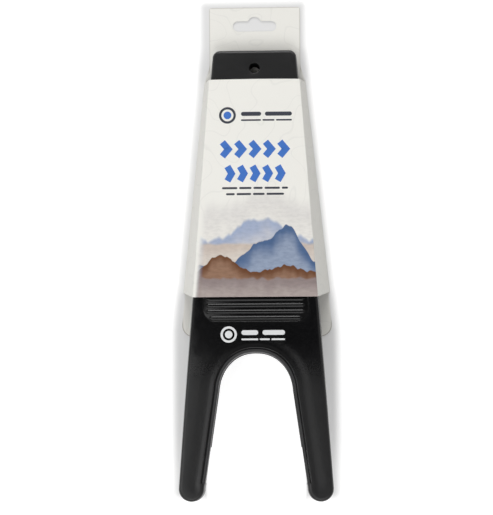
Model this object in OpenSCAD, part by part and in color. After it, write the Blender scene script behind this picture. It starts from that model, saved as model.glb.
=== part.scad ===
// Boot jack in its retail card sleeve.
// Frame: +X across, +Y towards the heel end and the hanging tab, +Z up.
// The origin is under the middle of the whole object, at the underside of the card.
// The jack lies as it is used: its heel end and its leg stand on rubber feet, the fork is raised.
// Places along the jack are written as s, the distance from its heel edge down the top face.

/* [Jack] */
// Length of the jack along its top face
jack_len = 324.8; // [280:0.1:340]
// Width across the heel edge
heel_w = 60.2; // [50:0.1:70]
// Width across the ends of the two arms
fork_w = 109.8; // [98:0.1:120]
// How far each long side bows outwards at mid length
side_bow = 0.9; // [0:0.1:3]
// Angle of the top face to the ground
slope = 7.5; // [5:0.1:9]
// Height of the top face's heel edge above the ground
heel_top = 12.6; // [12:0.1:18]
// Radius of the heel's two corners in plan
heel_r = 5.5; // [3:0.1:8]
// Fillet round the edge of the top face
edge_r = 2.5; // [1:0.1:3]
// Draft of every moulded wall, in degrees
draft = 2; // [0.5:0.1:3]
// Thickness of the skirt walls
wall = 3; // [2:0.1:3.4]
// Thickness of the top plate
plate = 3.2; // [2.6:0.1:4]
// Thickness of the ribs under the top plate
rib_t = 2; // [1.2:0.1:2.6]
// Distance from one cross rib to the next between the heel and the leg
rib_pitch = 28; // [20:0.5:32]
// Number of cross ribs between the heel and the leg
ribs = 5; // [3:1:5]
// Distance from one rib to the next in the arms
arm_rib_pitch = 22; // [18:0.5:24]
// Depth of the arms below the top face at the leg
arm_depth = 17; // [14:0.5:20]
// Depth of the arms at their ends
tip_depth = 13; // [10:0.5:15]

/* [Notch and liner] */
// Half of the notch's width where its round end meets the straight sides
notch_half_w = 26.7; // [24:0.05:29]
// Widening of each side of the notch per millimetre towards the mouth
notch_flare = 0.142; // [0.1:0.002:0.16]
// Place of the closed end of the notch along the top face
notch_s = 220; // [214:0.1:226]
// Length of the round end
notch_round = 27.5; // [24:0.1:32]
// Fullness of the round end: 2 is an ellipse, more is squarer
notch_power = 2.2; // [2:0.05:2.6]
// Thickness of the rubber liner
liner_t = 2.6; // [2.6:0.1:3]
// Height of the liner strip
liner_h = 12.6; // [9:0.1:13]
// Depth of the liner's upper rim below the top face
liner_drop = 0.8; // [0.2:0.1:1.5]
// Length of each arm's end that the liner leaves bare, measured from the arm's round end
liner_stop = 3.6; // [1:0.1:8]

/* [Tread] */
// Number of ridges across the standing area
ridges = 30; // [16:1:30]
// Distance from one ridge to the next
ridge_pitch = 4.5; // [4:0.1:4.6]
// Width of a ridge at its foot
ridge_w = 3.2; // [2:0.1:3.6]
// Width of a ridge's flat crest
crest_w = 1.6; // [0.6:0.1:1.8]
// Height of the ridges above the top face
ridge_h = 0.8; // [0.4:0.05:0.9]
// Place of the tread's end nearest the notch
tread_end = 198.2; // [194:0.1:204]
// Smooth margin between the tread and the jack's long sides
tread_margin = 8; // [6:0.1:12]
// Corner radius of the tread in plan
tread_r = 9; // [4:0.1:12]
// Thickness of the tread under its ridges
tread_t = 1.2; // [0.8:0.1:1.4]

/* [Hang hole, leg and feet] */
// Radius of the hang hole
hang_r = 3.75; // [3:0.05:4.5]
// Place of the hang hole along the top face
hang_s = 13.7; // [12:0.1:16]
// Length of the hang hole's boss below the top face
hang_boss_h = 11.5; // [9:0.1:11.6]
// Bevel round the mouth of the hang hole
hang_bevel = 0.4; // [0.3:0.1:1.2]
// Place along Y of the leg's rear face, towards the heel
leg_rear_y = -26; // [-30:0.5:-20]
// Place along Y of the leg's front face at the ground
leg_front_y = -62; // [-64:0.5:-56]
// Lean of the leg's front face back towards the heel, in degrees
leg_rake = 5.5; // [0:0.5:8]
// Height of the moulding's underside above the card, where the feet stand out below it
foot_h = 1.6; // [1:0.1:2.4]
// Radius of a foot
foot_r = 5.5; // [4:0.1:6]
// Radius of the stem that holds a foot in its boss
stem_r = 2.5; // [1.5:0.1:3]
// Length of the stem
stem_h = 6; // [4:0.1:7]
// Distance from the jack's middle to the feet under the heel
heel_foot_x = 19; // [16:0.5:20]
// Distance from the jack's middle to the feet under the leg
leg_foot_x = 35; // [30:0.5:36]
// Length of the part of the heel's underside that reaches down to the feet
heel_base = 30; // [28:0.5:36]

/* [Card sleeve] */
// Thickness of the card
card_t = 0.5; // [0.3:0.05:0.8]
// Reach of the header beyond the heel edge
header_reach = 32.9; // [28:0.1:40]
// Width of the header
header_w = 66.8; // [60:0.1:74]
// Width of the back card where the sleeve's narrow end stands on it
back_narrow_w = 74.6; // [70:0.1:80]
// Width of the back card where the sleeve's wide end stands on it
back_wide_w = 108.2; // [104:0.1:114]
// Width of the tongue that shows beyond the sleeve's wide end
tongue_w = 112.2; // [108:0.1:118]
// Width of the tongue where it leaves the sleeve
tongue_root_w = 105.6; // [100:0.1:108]
// Length of the tongue
tongue_len = 32.8; // [26:0.1:44]
// Distance from the sleeve's wide end to the score across the tongue
score_place = 15.8; // [8:0.1:24]
// Corner radius of the tongue
tongue_r = 8.5; // [4:0.1:14]
// Lean of the side panels from upright, in degrees
side_lean = 14.7; // [13:0.1:18]
// Gap between the jack's top face and the front panel
panel_gap = 1; // [0.95:0.05:2]
// Place of the front panel's narrow end along the jack's top face
panel_start = 22.5; // [18:0.1:30]
// Place of the front panel's wide end along the jack's top face
panel_end = 181.1; // [150:0.1:186]
// Width of the hanger slot
slot_w = 32; // [26:0.5:34]
// Height of the hanger slot
slot_h = 7.6; // [6:0.1:9]
// Radius of the round bump above the middle of the slot
bump_r = 5; // [4:0.1:6]
// Rise of the bump above the slot
bump_rise = 3.2; // [2:0.1:4]
// Distance from the header's edge to the middle of the slot
slot_inset = 13.7; // [11:0.1:18]
// Width of the glued flap
flap_w = 9; // [6:0.5:10]

/* [Hidden] */
$fn = 48;
jack_gap = 0.1;       // between the card and the feet, and between glued pieces
ground = card_t + jack_gap;
belly = ground + foot_h;             // underside of the moulding at the heel and the leg
relief = 2;                          // rise of the skirts' lower edge between heel and leg
relief_run = 4;                      // length over which it rises
clear = 10;                          // how far cutting shapes reach past what they cut
foot_wall = 1.5;                     // wall of a foot's boss
hang_wall = 3;                       // wall of the hang hole's boss
hang_clear = hang_r + hang_wall;
tip_reach = jack_len * cos(slope) + tip_depth * (sin(slope) + tan(draft));
heel_y = (tip_reach - header_reach) / 2;
header_y = heel_y + header_reach;
deep = 70;                           // more than the depth of the whole moulding
wide = 140;                          // more than the width of the whole object
notch_join = notch_s + notch_round;
tread_start = tread_end - ridges * ridge_pitch;
arc_steps = 7;
side_steps = 10;

// Round corners

function unit(v) = v / norm(v);

// Arc of radius r that rounds the corner b between the points a and c.
function corner(a, b, c, r) =
    let (
        u = unit(a - b),
        v = unit(c - b),
        half = acos(u * v) / 2,
        middle = b + unit(u + v) * r / sin(half),
        from = b + u * r / tan(half) - middle,
        to = b + v * r / tan(half) - middle,
        start = atan2(from.y, from.x),
        sweep = sign(cross(from, to)) * (180 - 2 * half)
    )
    [for (i = [0:arc_steps]) let (t = start + sweep * i / arc_steps) middle + r * [cos(t), sin(t)]];

// Outline through corners written as [x, y, radius].
function rounded(corners) =
    let (n = len(corners), p = [for (c = corners) [c.x, c.y]])
    [for (i = [0:n - 1])
        each corners[i].z > 0
            ? corner(p[(i + n - 1) % n], p[i], p[(i + 1) % n], corners[i].z)
            : [p[i]]];

// The points of a path mirrored in X, in reverse order.
function mirrored(path) = [for (i = [len(path) - 1:-1:0]) [-path[i].x, path[i].y]];

// The jack's plan outline, in the plane of its top face, clockwise from above

// Half width of the jack at s.
function half_w(s) =
    let (t = s / jack_len)
    heel_w / 2 + (fork_w - heel_w) / 2 * t + side_bow * 4 * t * (1 - t);

// Half width of the straight part of the notch at s.
function notch_half(s) = notch_half_w + notch_flare * (s - notch_join);

// Each arm ends in a half circle between its outer side and the notch.
function tip_radius(s) = (half_w(s) - notch_half(s)) / 2;
tip_r = tip_radius(jack_len - tip_radius(jack_len));
tip_s = jack_len - tip_r;
tip_x = (half_w(tip_s) + notch_half(tip_s)) / 2;
liner_mouth = tip_s - liner_stop;

// Right-hand edge of the notch, from s at its mouth to the middle of its closed end.
function notch_edge(s) = concat(
    [for (i = [0:3]) let (t = s + (notch_join - s) * i / 4) [notch_half(t), -t]],
    [for (i = [0:2 * arc_steps]) let (t = 45 * i / arc_steps,
                                      back = notch_round * pow(sin(t), 2 / notch_power))
        [(notch_half_w - notch_flare / 2 * back) * pow(cos(t), 2 / notch_power),
         back - notch_join]]);

// The whole edge of the notch, from its right-hand mouth round to its left-hand mouth.
function notch_path(s) =
    let (right = notch_edge(s), left = mirrored(right))
    concat(right, [for (i = [1:len(left) - 1]) left[i]]);

// Right-hand half of the outline, in four stretches: the heel and side as far as the arm, the
// arm's outer side with as many points as the notch's edge, the arm's end, and the notch's edge.
arm_lead = 8;                              // how far the arm's side starts before the notch
heel_side = concat(
    [for (i = [0:arc_steps]) let (t = 90 * i / arc_steps)
        [half_w(heel_r) - heel_r * (1 - sin(t)), -heel_r * (1 - cos(t))]],
    [for (i = [1:side_steps - 1])
        let (s = heel_r + (notch_s - arm_lead - heel_r) * i / side_steps) [half_w(s), -s]]);
arm_side = [for (p = mirrored(notch_edge(tip_s)))
    let (s = -p.y - arm_lead * (tip_s + p.y) / (tip_s - notch_s)) [half_w(s), -s]];
tip_arc = [for (i = [1:2 * arc_steps - 1]) let (t = 90 * i / arc_steps)
    [tip_x + tip_r * cos(t), -tip_s - tip_r * sin(t)]];
half_outline = concat(heel_side, arm_side, tip_arc, notch_edge(tip_s));
outline = concat(half_outline, [for (i = [1:len(half_outline) - 1]) mirrored(half_outline)[i]]);

arm_i = len(heel_side);                    // first point of the arm's outer side
tip_i = arm_i + len(arm_side) - 1;         // last point of it, where the arm's end starts
mouth_i = tip_i + len(tip_arc) + 1;        // first point of the notch
middle_i = len(half_outline) - 1;          // middle of the notch's closed end
last_i = len(outline) - 1;

// The plan as convex faces: the plate up to the notch, strips along both arms, and their ends.
half_faces = concat(
    [for (j = [0:tip_i - arm_i - 1])
        [arm_i + j, arm_i + j + 1, middle_i - j - 1, middle_i - j]],
    [[for (i = [tip_i:mouth_i]) i]]);
plan_faces = concat(
    [[for (i = [0:last_i]) if (i <= arm_i || i == middle_i || i >= last_i - arm_i) i]],
    half_faces,
    [for (f = half_faces) [for (i = [len(f) - 1:-1:0]) last_i - f[i]]]);

// Unit normal to the left of a path at the point between a and b.
function left_normal(a, b) = let (d = unit(b - a)) [-d.y, d.x];

// Share of the liner's thickness that the hollow keeps clear at outline point i:
// none on the long sides, all of it along the notch, and a ramp round each arm's end.
function liner_share(i) = min(1, max(0, (min(i, last_i - i) - tip_i) / (mouth_i - tip_i)));

// Outline moved outwards by grow, and inwards along the notch by keep as well.
function grown(grow, keep = 0) =
    let (n = len(outline))
    [for (i = [0:last_i])
        outline[i] + left_normal(outline[(i + last_i) % n], outline[(i + 1) % n])
            * (grow - keep * liner_share(i))];

// Notch edge moved into the jack by t, from s at the mouth.
function notch_inset(s, t) =
    let (path = notch_path(s), last = len(path) - 1)
    [for (i = [0:last]) path[i] + t * left_normal(path[min(i + 1, last)], path[max(i - 1, 0)])];

// Solid through rings of the outline, each written as [height, grow], from the top down.
module loft(rings) {
    n = len(outline);
    last = len(rings) - 1;
    polyhedron(
        points = [for (r = rings) for (p = grown(r[1])) [p.x, p.y, r[0]]],
        faces = concat(
            plan_faces,
            [for (k = [0:last - 1]) for (i = [0:last_i]) let (j = (i + 1) % n)
                each [[k * n + j, k * n + i, (k + 1) * n + i],
                      [k * n + j, (k + 1) * n + i, (k + 1) * n + j]]],
            [for (f = plan_faces) [for (i = [len(f) - 1:-1:0]) last * n + f[i]]]),
        convexity = 8);
}

// Places in the frame

// Puts children drawn on the jack's top face, with -Y running down to the fork, in the frame.
module on_top_face() {
    translate([0, heel_y, heel_top]) rotate([-slope, 0, 0]) children();
}

// Y and Z of a point at s along the top face and w above it, and the s of a point at y and z.
function top_y(s, w = 0) = heel_y - s * cos(slope) + w * sin(slope);
function top_z(s, w = 0) = heel_top + s * sin(slope) + w * cos(slope);
function s_at(y, z) = (heel_y - y) * cos(slope) + (z - heel_top) * sin(slope);

// Extrudes a drawing of Y and Z across the whole width.
module across(width = wide) {
    rotate([90, 0, 90]) linear_extrude(width, center = true) children();
}

// Jack body

// Outside of the moulding: filleted top edge and drafted walls.
module outside() {
    fillet = [for (t = [0:30:90]) [edge_r * (cos(t) - 1), edge_r * (sin(t) - 1)]];
    loft(concat(fillet, [[-deep, (deep - edge_r) * tan(draft)]]));
}

// Side view: the heel and the leg reach down, and the arms run on at a steady taper.
module side_view() {
    arm_s = notch_s + 5;
    foot_line = belly + relief;
    rise = top_z(arm_s, -arm_depth) - belly;
    soft = 3;
    toe = 1.5;
    crook = 8;
    across() polygon(rounded([
        [heel_y + clear, belly, 0],
        [heel_y - heel_base, belly, soft],
        [heel_y - heel_base - relief_run, foot_line, soft],
        [leg_rear_y + 1 + relief_run, foot_line, soft],
        [leg_rear_y + 1, belly, soft],
        [leg_front_y, belly, toe],
        [leg_front_y + rise * tan(leg_rake), belly + rise, crook],
        [top_y(jack_len) - clear, top_z(jack_len, -tip_depth) + clear * tan(slope), 0],
        [top_y(jack_len) - clear, deep + clear, 0],
        [heel_y + clear, deep + clear, 0]]));
}

// Feet: two under the heel, two under the leg.
foot_places = [for (p = [[heel_foot_x, heel_y - hang_s], [leg_foot_x, (leg_rear_y + leg_front_y) / 2]])
    for (side = [-1, 1]) [side * p.x, p.y]];

// Strip of plan across the whole width, from s towards the fork.
module cross_wall(s, t) {
    translate([-wide / 2, -s - t]) square([wide, t]);
}

// Plan of the ribs: two long ones that spread from the heel to the leg, cross ribs, the leg's
// two walls, and the bosses of the feet and the hang hole.
module rib_plan() {
    heel_x = 9.5;
    leg_x = 15;
    arm_rib_s = 256;
    leg_rear = s_at(leg_rear_y, belly);
    leg_front = s_at(leg_front_y, belly);
    for (side = [-1, 1])
        polygon([[side * heel_x - rib_t / 2, 0], [side * heel_x + rib_t / 2, 0],
                 [side * leg_x + rib_t / 2, -notch_s], [side * leg_x - rib_t / 2, -notch_s]]);
    for (i = [1:ribs]) cross_wall(leg_rear - i * rib_pitch, rib_t);
    cross_wall(leg_rear, wall);
    cross_wall(leg_front - wall, wall);
    for (i = [0:2]) cross_wall(arm_rib_s + i * arm_rib_pitch, rib_t);
    for (p = foot_places) translate([p.x, -s_at(p.y, belly)]) circle(foot_r + foot_wall);
    translate([0, -hang_s]) circle(hang_clear);
}

// Cells under the top plate, open downwards.
module cells() {
    translate([0, 0, -deep]) linear_extrude(deep - plate) difference() {
        polygon(grown(-wall, liner_t + jack_gap));
        rib_plan();
    }
}

// Hang hole with a bevelled mouth, and the space under its boss, which stops short of the card.
module hang_hole() {
    translate([0, -hang_s, -deep]) cylinder(h = deep + 1, r = hang_r);
    translate([0, -hang_s, -hang_bevel])
        cylinder(h = 2 * hang_bevel, r1 = hang_r, r2 = hang_r + 2 * hang_bevel);
    translate([0, -hang_s, -deep]) cylinder(h = deep - hang_boss_h, r = hang_clear);
}

// Plan of the tread, grown by grow.
module tread_plan(grow = 0) {
    near = half_w(tread_start) - tread_margin + grow;
    far = half_w(tread_end) - tread_margin + grow;
    polygon(rounded([[near, grow - tread_start, tread_r], [far, -tread_end - grow, tread_r],
                     [-far, -tread_end - grow, tread_r], [-near, grow - tread_start, tread_r]]));
}

// Rebate that the liner is glued into, open to the notch and to the top face.
module liner_rebate() {
    depth = liner_drop + liner_h + jack_gap;
    translate([0, 0, -depth]) linear_extrude(depth + 1)
        polygon(notch_inset(liner_mouth + jack_gap, liner_t + jack_gap));
}

module jack_body() {
    color("#232325") difference() {
        intersection() {
            side_view();
            on_top_face() outside();
        }
        on_top_face() {
            cells();
            translate([0, 0, -tread_t - jack_gap]) linear_extrude(deep) tread_plan(jack_gap);
            liner_rebate();
            hang_hole();
        }
        for (p = foot_places) translate([p.x, p.y, 0])
            cylinder(h = belly + stem_h + 0.5, r = stem_r + jack_gap / 2);
    }
}

module notch_liner() {
    back = notch_inset(liner_mouth, liner_t);
    color("#3a3a3c") on_top_face() translate([0, 0, -liner_drop - liner_h]) linear_extrude(liner_h)
        polygon(concat(notch_path(liner_mouth), [for (i = [len(back) - 1:-1:0]) back[i]]));
}

// Tread: a plate with a row of ridges whose crests are flat and whose sides slope.
module tread_pad() {
    lip = (ridge_pitch - ridge_w) / 2;
    ridge_line = [for (i = [ridges - 1:-1:0]) let (s = tread_start + i * ridge_pitch + lip)
        each [[-s - ridge_w, 0], [-s - (ridge_w + crest_w) / 2, ridge_h],
              [-s - (ridge_w - crest_w) / 2, ridge_h], [-s, 0]]];
    color("#1b1b1c") on_top_face() intersection() {
        across() polygon(concat([[-tread_end, -tread_t], [-tread_end, 0]], ridge_line,
                                [[-tread_start, 0], [-tread_start, -tread_t]]));
        translate([0, 0, -deep]) linear_extrude(2 * deep) tread_plan();
    }
}

// Foot: a disc with a bevelled sole and a stem that plugs into its boss.
module foot(place) {
    bevel = foot_h / 3;
    color("#141414") translate([place.x, place.y, ground]) rotate_extrude()
        polygon([[0, 0], [foot_r - bevel, 0], [foot_r, bevel], [foot_r, foot_h],
                 [stem_r, foot_h], [stem_r, foot_h + stem_h], [0, foot_h + stem_h]]);
}
module heel_foot_left() foot(foot_places[0]);
module heel_foot_right() foot(foot_places[1]);
module leg_foot_left() foot(foot_places[2]);
module leg_foot_right() foot(foot_places[3]);

// Card sleeve

panel_start_y = top_y(panel_start, panel_gap);
panel_end_y = top_y(panel_end, panel_gap);
fold_lead = 0.5;                     // how far the folds start inside the front panel's narrow end
fold_trail = 2.3;                    // how far they end inside its wide end
fold_start_y = panel_start_y - fold_lead;
fold_end_y = panel_end_y + fold_trail;

// X of the right-hand fold between the back card and the side panel, at y.
function fold_x(y) =
    (back_narrow_w + (back_wide_w - back_narrow_w) * (fold_start_y - y) / (fold_start_y - fold_end_y)) / 2;

// X of the side panel's outer face at y and z.
function side_x(y, z) = fold_x(y) - (z - card_t) * tan(side_lean);

// Hanger slot: a long slot with round ends and a round bump above its middle.
module hanger_slot() {
    square([slot_w - slot_h, slot_h], center = true);
    for (side = [-1, 1]) translate([side * (slot_w - slot_h) / 2, 0]) circle(d = slot_h);
    translate([0, slot_h / 2 + bump_rise - bump_r]) circle(bump_r);
}

// Back card with the header at the heel end and the round-cornered tongue at the fork end.
module back_card() {
    tongue_y = fold_end_y - tongue_len;
    header_r = 1.5;
    flare = 12;
    flare_r = 20;
    root = 1.5;
    score_w = 0.8;
    score_depth = 0.15;
    right = [[header_w / 2, header_y, header_r],
             [header_w / 2, fold_start_y + flare, flare_r],
             [back_narrow_w / 2, fold_start_y, 0],
             [back_wide_w / 2, fold_end_y, 0],
             [tongue_root_w / 2, fold_end_y - root, 0],
             [tongue_w / 2, tongue_y, tongue_r]];
    left = [for (i = [len(right) - 1:-1:0]) [-right[i].x, right[i].y, right[i].z]];
    color("#e9e6e1") difference() {
        linear_extrude(card_t) difference() {
            polygon(rounded(concat(right, left)));
            translate([0, header_y - slot_inset]) hanger_slot();
        }
        translate([-wide / 2, fold_end_y - score_place - score_w / 2, card_t - score_depth])
            cube([wide, score_w, card_t]);
    }
}

module front_panel() {
    start_x = side_x(panel_start_y, top_z(panel_start, panel_gap));
    end_x = side_x(panel_end_y, top_z(panel_end, panel_gap));
    color("#efece8") on_top_face() translate([0, 0, panel_gap]) linear_extrude(card_t)
        polygon([[start_x, -panel_start], [end_x, -panel_end],
                 [-end_x, -panel_end], [-start_x, -panel_start]]);
}

// Flat panel from the back card's fold up to the crease of the front panel.
module side_panel(side) {
    seam = 0.02;
    edge = [[fold_start_y, card_t + seam], [fold_end_y, card_t + seam],
            [panel_end_y, top_z(panel_end, panel_gap - seam)],
            [panel_start_y, top_z(panel_start, panel_gap - seam)]];
    skin = card_t / cos(side_lean);
    points = [for (inner = [0, skin]) for (p = edge)
        [side * (side_x(p[0], p[1]) - inner), p[0], p[1]]];
    faces = [[0, 1, 2, 3], [7, 6, 5, 4], [0, 4, 5, 1], [1, 5, 6, 2], [2, 6, 7, 3], [3, 7, 4, 0]];
    color("#dcd8d2") polyhedron(points, side > 0 ? [for (f = faces) [for (i = [3:-1:0]) f[i]]] : faces);
}
module side_panel_left() side_panel(-1);
module side_panel_right() side_panel(1);

// Flap that is glued on the back card, inside the left-hand fold.
module glue_flap() {
    start = heel_y - 40;
    end = fold_end_y + 4;
    inset = 0.8;
    color("#cfcbc5") translate([0, 0, card_t + 0.02]) linear_extrude(card_t * 0.9)
        polygon([[-fold_x(start) + inset, start], [-fold_x(start) + flap_w, start - flap_w / 2],
                 [-fold_x(end) + flap_w, end + flap_w / 2], [-fold_x(end) + inset, end]]);
}

jack_body();
notch_liner();
tread_pad();
heel_foot_left();
heel_foot_right();
leg_foot_left();
leg_foot_right();
back_card();
front_panel();
side_panel_left();
side_panel_right();
glue_flap();
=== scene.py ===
"""Boot jack in its card sleeve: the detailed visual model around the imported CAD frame.

Every length is in metres, in the frame of the CAD model: +X across the jack, +Y towards its heel end
and the hanging header, +Z up. Places along the jack are written as s, the distance from its heel edge
down the top face, and w is the height above that face.
"""

import logging  # noqa: E402
import math  # noqa: E402
from dataclasses import dataclass, field  # noqa: E402
from enum import Enum  # noqa: E402
from typing import Callable, Iterable, Sequence  # noqa: E402

import bmesh  # noqa: E402
import bpy  # noqa: E402
import numpy as np  # noqa: E402
from mathutils import Matrix, Vector  # noqa: E402
from mathutils.geometry import delaunay_2d_cdt  # noqa: E402


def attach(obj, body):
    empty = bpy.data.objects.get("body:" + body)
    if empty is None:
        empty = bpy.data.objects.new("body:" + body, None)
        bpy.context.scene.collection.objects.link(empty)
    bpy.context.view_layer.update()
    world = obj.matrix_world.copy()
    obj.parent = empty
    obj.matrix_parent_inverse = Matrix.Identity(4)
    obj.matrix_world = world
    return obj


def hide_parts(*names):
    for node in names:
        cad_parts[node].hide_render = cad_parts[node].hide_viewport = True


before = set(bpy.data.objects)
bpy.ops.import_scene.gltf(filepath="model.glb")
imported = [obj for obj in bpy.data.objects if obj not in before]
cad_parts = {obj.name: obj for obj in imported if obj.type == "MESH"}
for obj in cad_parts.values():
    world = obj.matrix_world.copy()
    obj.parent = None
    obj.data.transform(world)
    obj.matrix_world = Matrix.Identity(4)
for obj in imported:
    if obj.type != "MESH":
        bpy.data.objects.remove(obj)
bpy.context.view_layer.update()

LOG = logging.getLogger("boot_jack")
MM = 0.001
Point2 = tuple[float, float]
Point3 = tuple[float, float, float]
Span = tuple[float, float]
Colour = tuple[float, float, float]
Face = tuple[int, ...]
Mesh = bpy.types.Mesh
Piece = bpy.types.Object
Material = bpy.types.Material
Socket = bpy.types.NodeSocket


class Body(Enum):
    """The CAD bodies that pieces ride on."""

    JACK = "jack"
    SLEEVE = "sleeve"


class Slot(Enum):
    """The record's material slots."""

    BODY = "body_plastic"
    LINER = "liner_rubber"
    TREAD = "tread_rubber"
    FOOT = "foot_rubber"
    CARD = "card"


# Mesh tools


def add_object(name: str, mesh: Mesh) -> Piece:
    """Link a new object at the origin.

    Args:
        name: Name of the object and of its mesh.
        mesh: Mesh with its place in its vertices.

    Returns:
        The new object.
    """
    mesh.name = name
    obj = bpy.data.objects.new(name, mesh)
    bpy.context.scene.collection.objects.link(obj)
    return obj


def raw_mesh(points: Sequence[Sequence[float]], faces: Sequence[Face], edges: Sequence[Face] = ()) -> Mesh:
    """Make a mesh of points, faces and loose edges, just as they are given."""
    mesh = bpy.data.meshes.new("part")
    mesh.from_pydata([tuple(p) for p in points], edges, faces)
    return mesh


def mesh_of(points: Sequence[Sequence[float]], faces: Sequence[Face]) -> Mesh:
    """Make a mesh of points and faces, with faces turned outwards.

    Args:
        points: Vertex positions.
        faces: Vertex indices of each face.

    Returns:
        The new mesh.
    """
    mesh = raw_mesh(points, faces)
    mesh.validate()
    turn_outwards(mesh)
    return mesh


def turn_outwards(mesh: Mesh) -> None:
    """Merge doubles and make every face of a closed mesh point outwards."""
    bm = bmesh.new()
    bm.from_mesh(mesh)
    bmesh.ops.remove_doubles(bm, verts=bm.verts, dist=1e-7)
    bmesh.ops.recalc_face_normals(bm, faces=bm.faces)
    bm.to_mesh(mesh)
    bm.free()


def smooth_below(mesh: Mesh, degrees: float) -> None:
    """Shade a mesh smooth, with edges sharper than the angle kept crisp."""
    mesh.shade_smooth()
    mesh.set_sharp_from_angle(angle=math.radians(degrees))


def bake_modifiers(obj: Piece) -> None:
    """Turn what an object's modifiers make into its own plain mesh."""
    bpy.context.view_layer.update()
    graph = bpy.context.evaluated_depsgraph_get()
    made = bpy.data.meshes.new_from_object(obj.evaluated_get(graph), depsgraph=graph)
    obj.modifiers.clear()
    old = obj.data
    obj.data = made
    made.name = obj.name
    if old.users == 0:
        bpy.data.meshes.remove(old)


def thicken(obj: Piece, thickness: float, offset: float, even: bool = False) -> None:
    """Give a sheet its thickness.

    Args:
        obj: The sheet, which becomes a closed piece.
        thickness: Its thickness.
        offset: Where it goes, from -1 for inwards to 1 for outwards.
        even: Whether it stays the same at bends.
    """
    step = obj.modifiers.new("thickness", "SOLIDIFY")
    step.thickness = thickness
    step.offset = offset
    step.use_even_offset = even
    bake_modifiers(obj)


def cut(obj: Piece, tools: Iterable[Piece], how: str = "DIFFERENCE") -> None:
    """Cut an object with others, which are used up.

    Args:
        obj: The object that is cut.
        tools: The cutting objects.
        how: Kind of boolean, DIFFERENCE or INTERSECT.
    """
    for tool in tools:
        step = obj.modifiers.new("cut", "BOOLEAN")
        step.operation = how
        step.solver = "EXACT"
        step.use_self = False
        step.object = tool
        bake_modifiers(obj)
        mesh = tool.data
        bpy.data.objects.remove(tool)
        bpy.data.meshes.remove(mesh)


def arc(steps: int, sweep: float = math.pi / 2) -> list[float]:
    """Angles from 0 to the sweep, in even steps."""
    return [sweep * i / steps for i in range(steps + 1)]


def circle(x: float, y: float, radius: float, steps: int) -> list[Point2]:
    """Points round a circle about x and y."""
    return [(x + radius * math.cos(a), y + radius * math.sin(a)) for a in arc(steps, math.tau)[:-1]]


def ring_faces(count: int, rings: int) -> list[Face]:
    """Faces between closed rings of points that follow each other in one list."""
    faces: list[Face] = []
    for k in range(rings - 1):
        for i in range(count):
            a, b = k * count + i, k * count + (i + 1) % count
            faces.append((a, b, b + count, a + count))
    return faces


def prism(outline: Sequence[Point2], low: float, high: float) -> Mesh:
    """Extrude a plan outline between two heights.

    Args:
        outline: Points of the plan.
        low: Lower height.
        high: Upper height.

    Returns:
        A closed mesh.
    """
    count = len(outline)
    points = [(x, y, z) for z in (low, high) for x, y in outline]
    return mesh_of(points, [tuple(range(count)), tuple(range(count, 2 * count)), *ring_faces(count, 2)])


def flared_prism(outline: Callable[[float], Sequence[Point2]], low: float, lip: float, high: float,
                 steps: int = 5) -> Mesh:
    """Extrude a plan outline with a rounded flare where it meets height 0.

    Args:
        outline: Function that gives the plan grown by an amount.
        low: Lower height.
        lip: Radius of the flare.
        high: Upper height.
        steps: Number of steps of the flare.

    Returns:
        A closed mesh.
    """
    flare = [(-lip * (1 - math.sin(a)), lip * (1 - math.cos(a))) for a in arc(steps)]
    levels = [(low, 0.0), *flare, (high, lip)]
    return loft_mesh([[(x, y, z) for x, y in outline(grow)] for z, grow in levels])


def loft_mesh(rings: Sequence[Sequence[Sequence[float]]]) -> Mesh:
    """Join closed rings of points.

    Args:
        rings: Rings of equal length, the first and the last of which are closed with a face.

    Returns:
        A closed mesh.
    """
    count = len(rings[0])
    last = (len(rings) - 1) * count
    faces = [*ring_faces(count, len(rings)), tuple(range(count)), tuple(range(last, last + count))]
    return mesh_of([p for ring in rings for p in ring], faces)


def lathe(profile: Sequence[Point2], segments: int = 48) -> Mesh:
    """Turn a profile of (radius, height) points about the Z axis.

    Args:
        profile: Points from one pole or rim to the other; a radius of 0 makes a closed pole.
        segments: Number of steps round the axis.

    Returns:
        A closed mesh where the profile starts and ends on the axis.
    """
    points: list[Point3] = []
    starts: list[tuple[int, bool]] = []
    for radius, height in profile:
        pole = radius <= 0
        starts.append((len(points), pole))
        ring = [(0.0, 0.0)] if pole else circle(0.0, 0.0, radius, segments)
        points += [(x, y, height) for x, y in ring]
    faces: list[Face] = []
    for (a, pole_a), (b, pole_b) in zip(starts, starts[1:]):
        for i in range(segments):
            j = (i + 1) % segments
            if pole_a:
                faces.append((a, b + j, b + i))
            elif pole_b:
                faces.append((a + i, a + j, b))
            else:
                faces.append((a + i, a + j, b + j, b + i))
    return mesh_of(points, faces)


def rounded(corners: Sequence[Point3], steps: int = 8) -> list[Point2]:
    """Outline through corners written as (x, y, radius).

    Args:
        corners: The corners in order.
        steps: Number of steps of each round corner.

    Returns:
        The outline's points.
    """
    made: list[Point2] = []
    count = len(corners)
    for i, (x, y, radius) in enumerate(corners):
        here = Vector((x, y))
        if radius <= 0:
            made.append((x, y))
            continue
        before = Vector(corners[i - 1][:2]) - here
        after = Vector(corners[(i + 1) % count][:2]) - here
        u, v = before.normalized(), after.normalized()
        half = math.acos(max(-1.0, min(1.0, u.dot(v)))) / 2
        middle = here + (u + v).normalized() * radius / math.sin(half)
        first = here + u * radius / math.tan(half) - middle
        last = here + v * radius / math.tan(half) - middle
        start = math.atan2(first.y, first.x)
        sweep = math.copysign(math.pi - 2 * half, first.x * last.y - first.y * last.x)
        for k in range(steps + 1):
            turn = start + sweep * k / steps
            made.append((middle.x + radius * math.cos(turn), middle.y + radius * math.sin(turn)))
    return made


# Sizes


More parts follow.
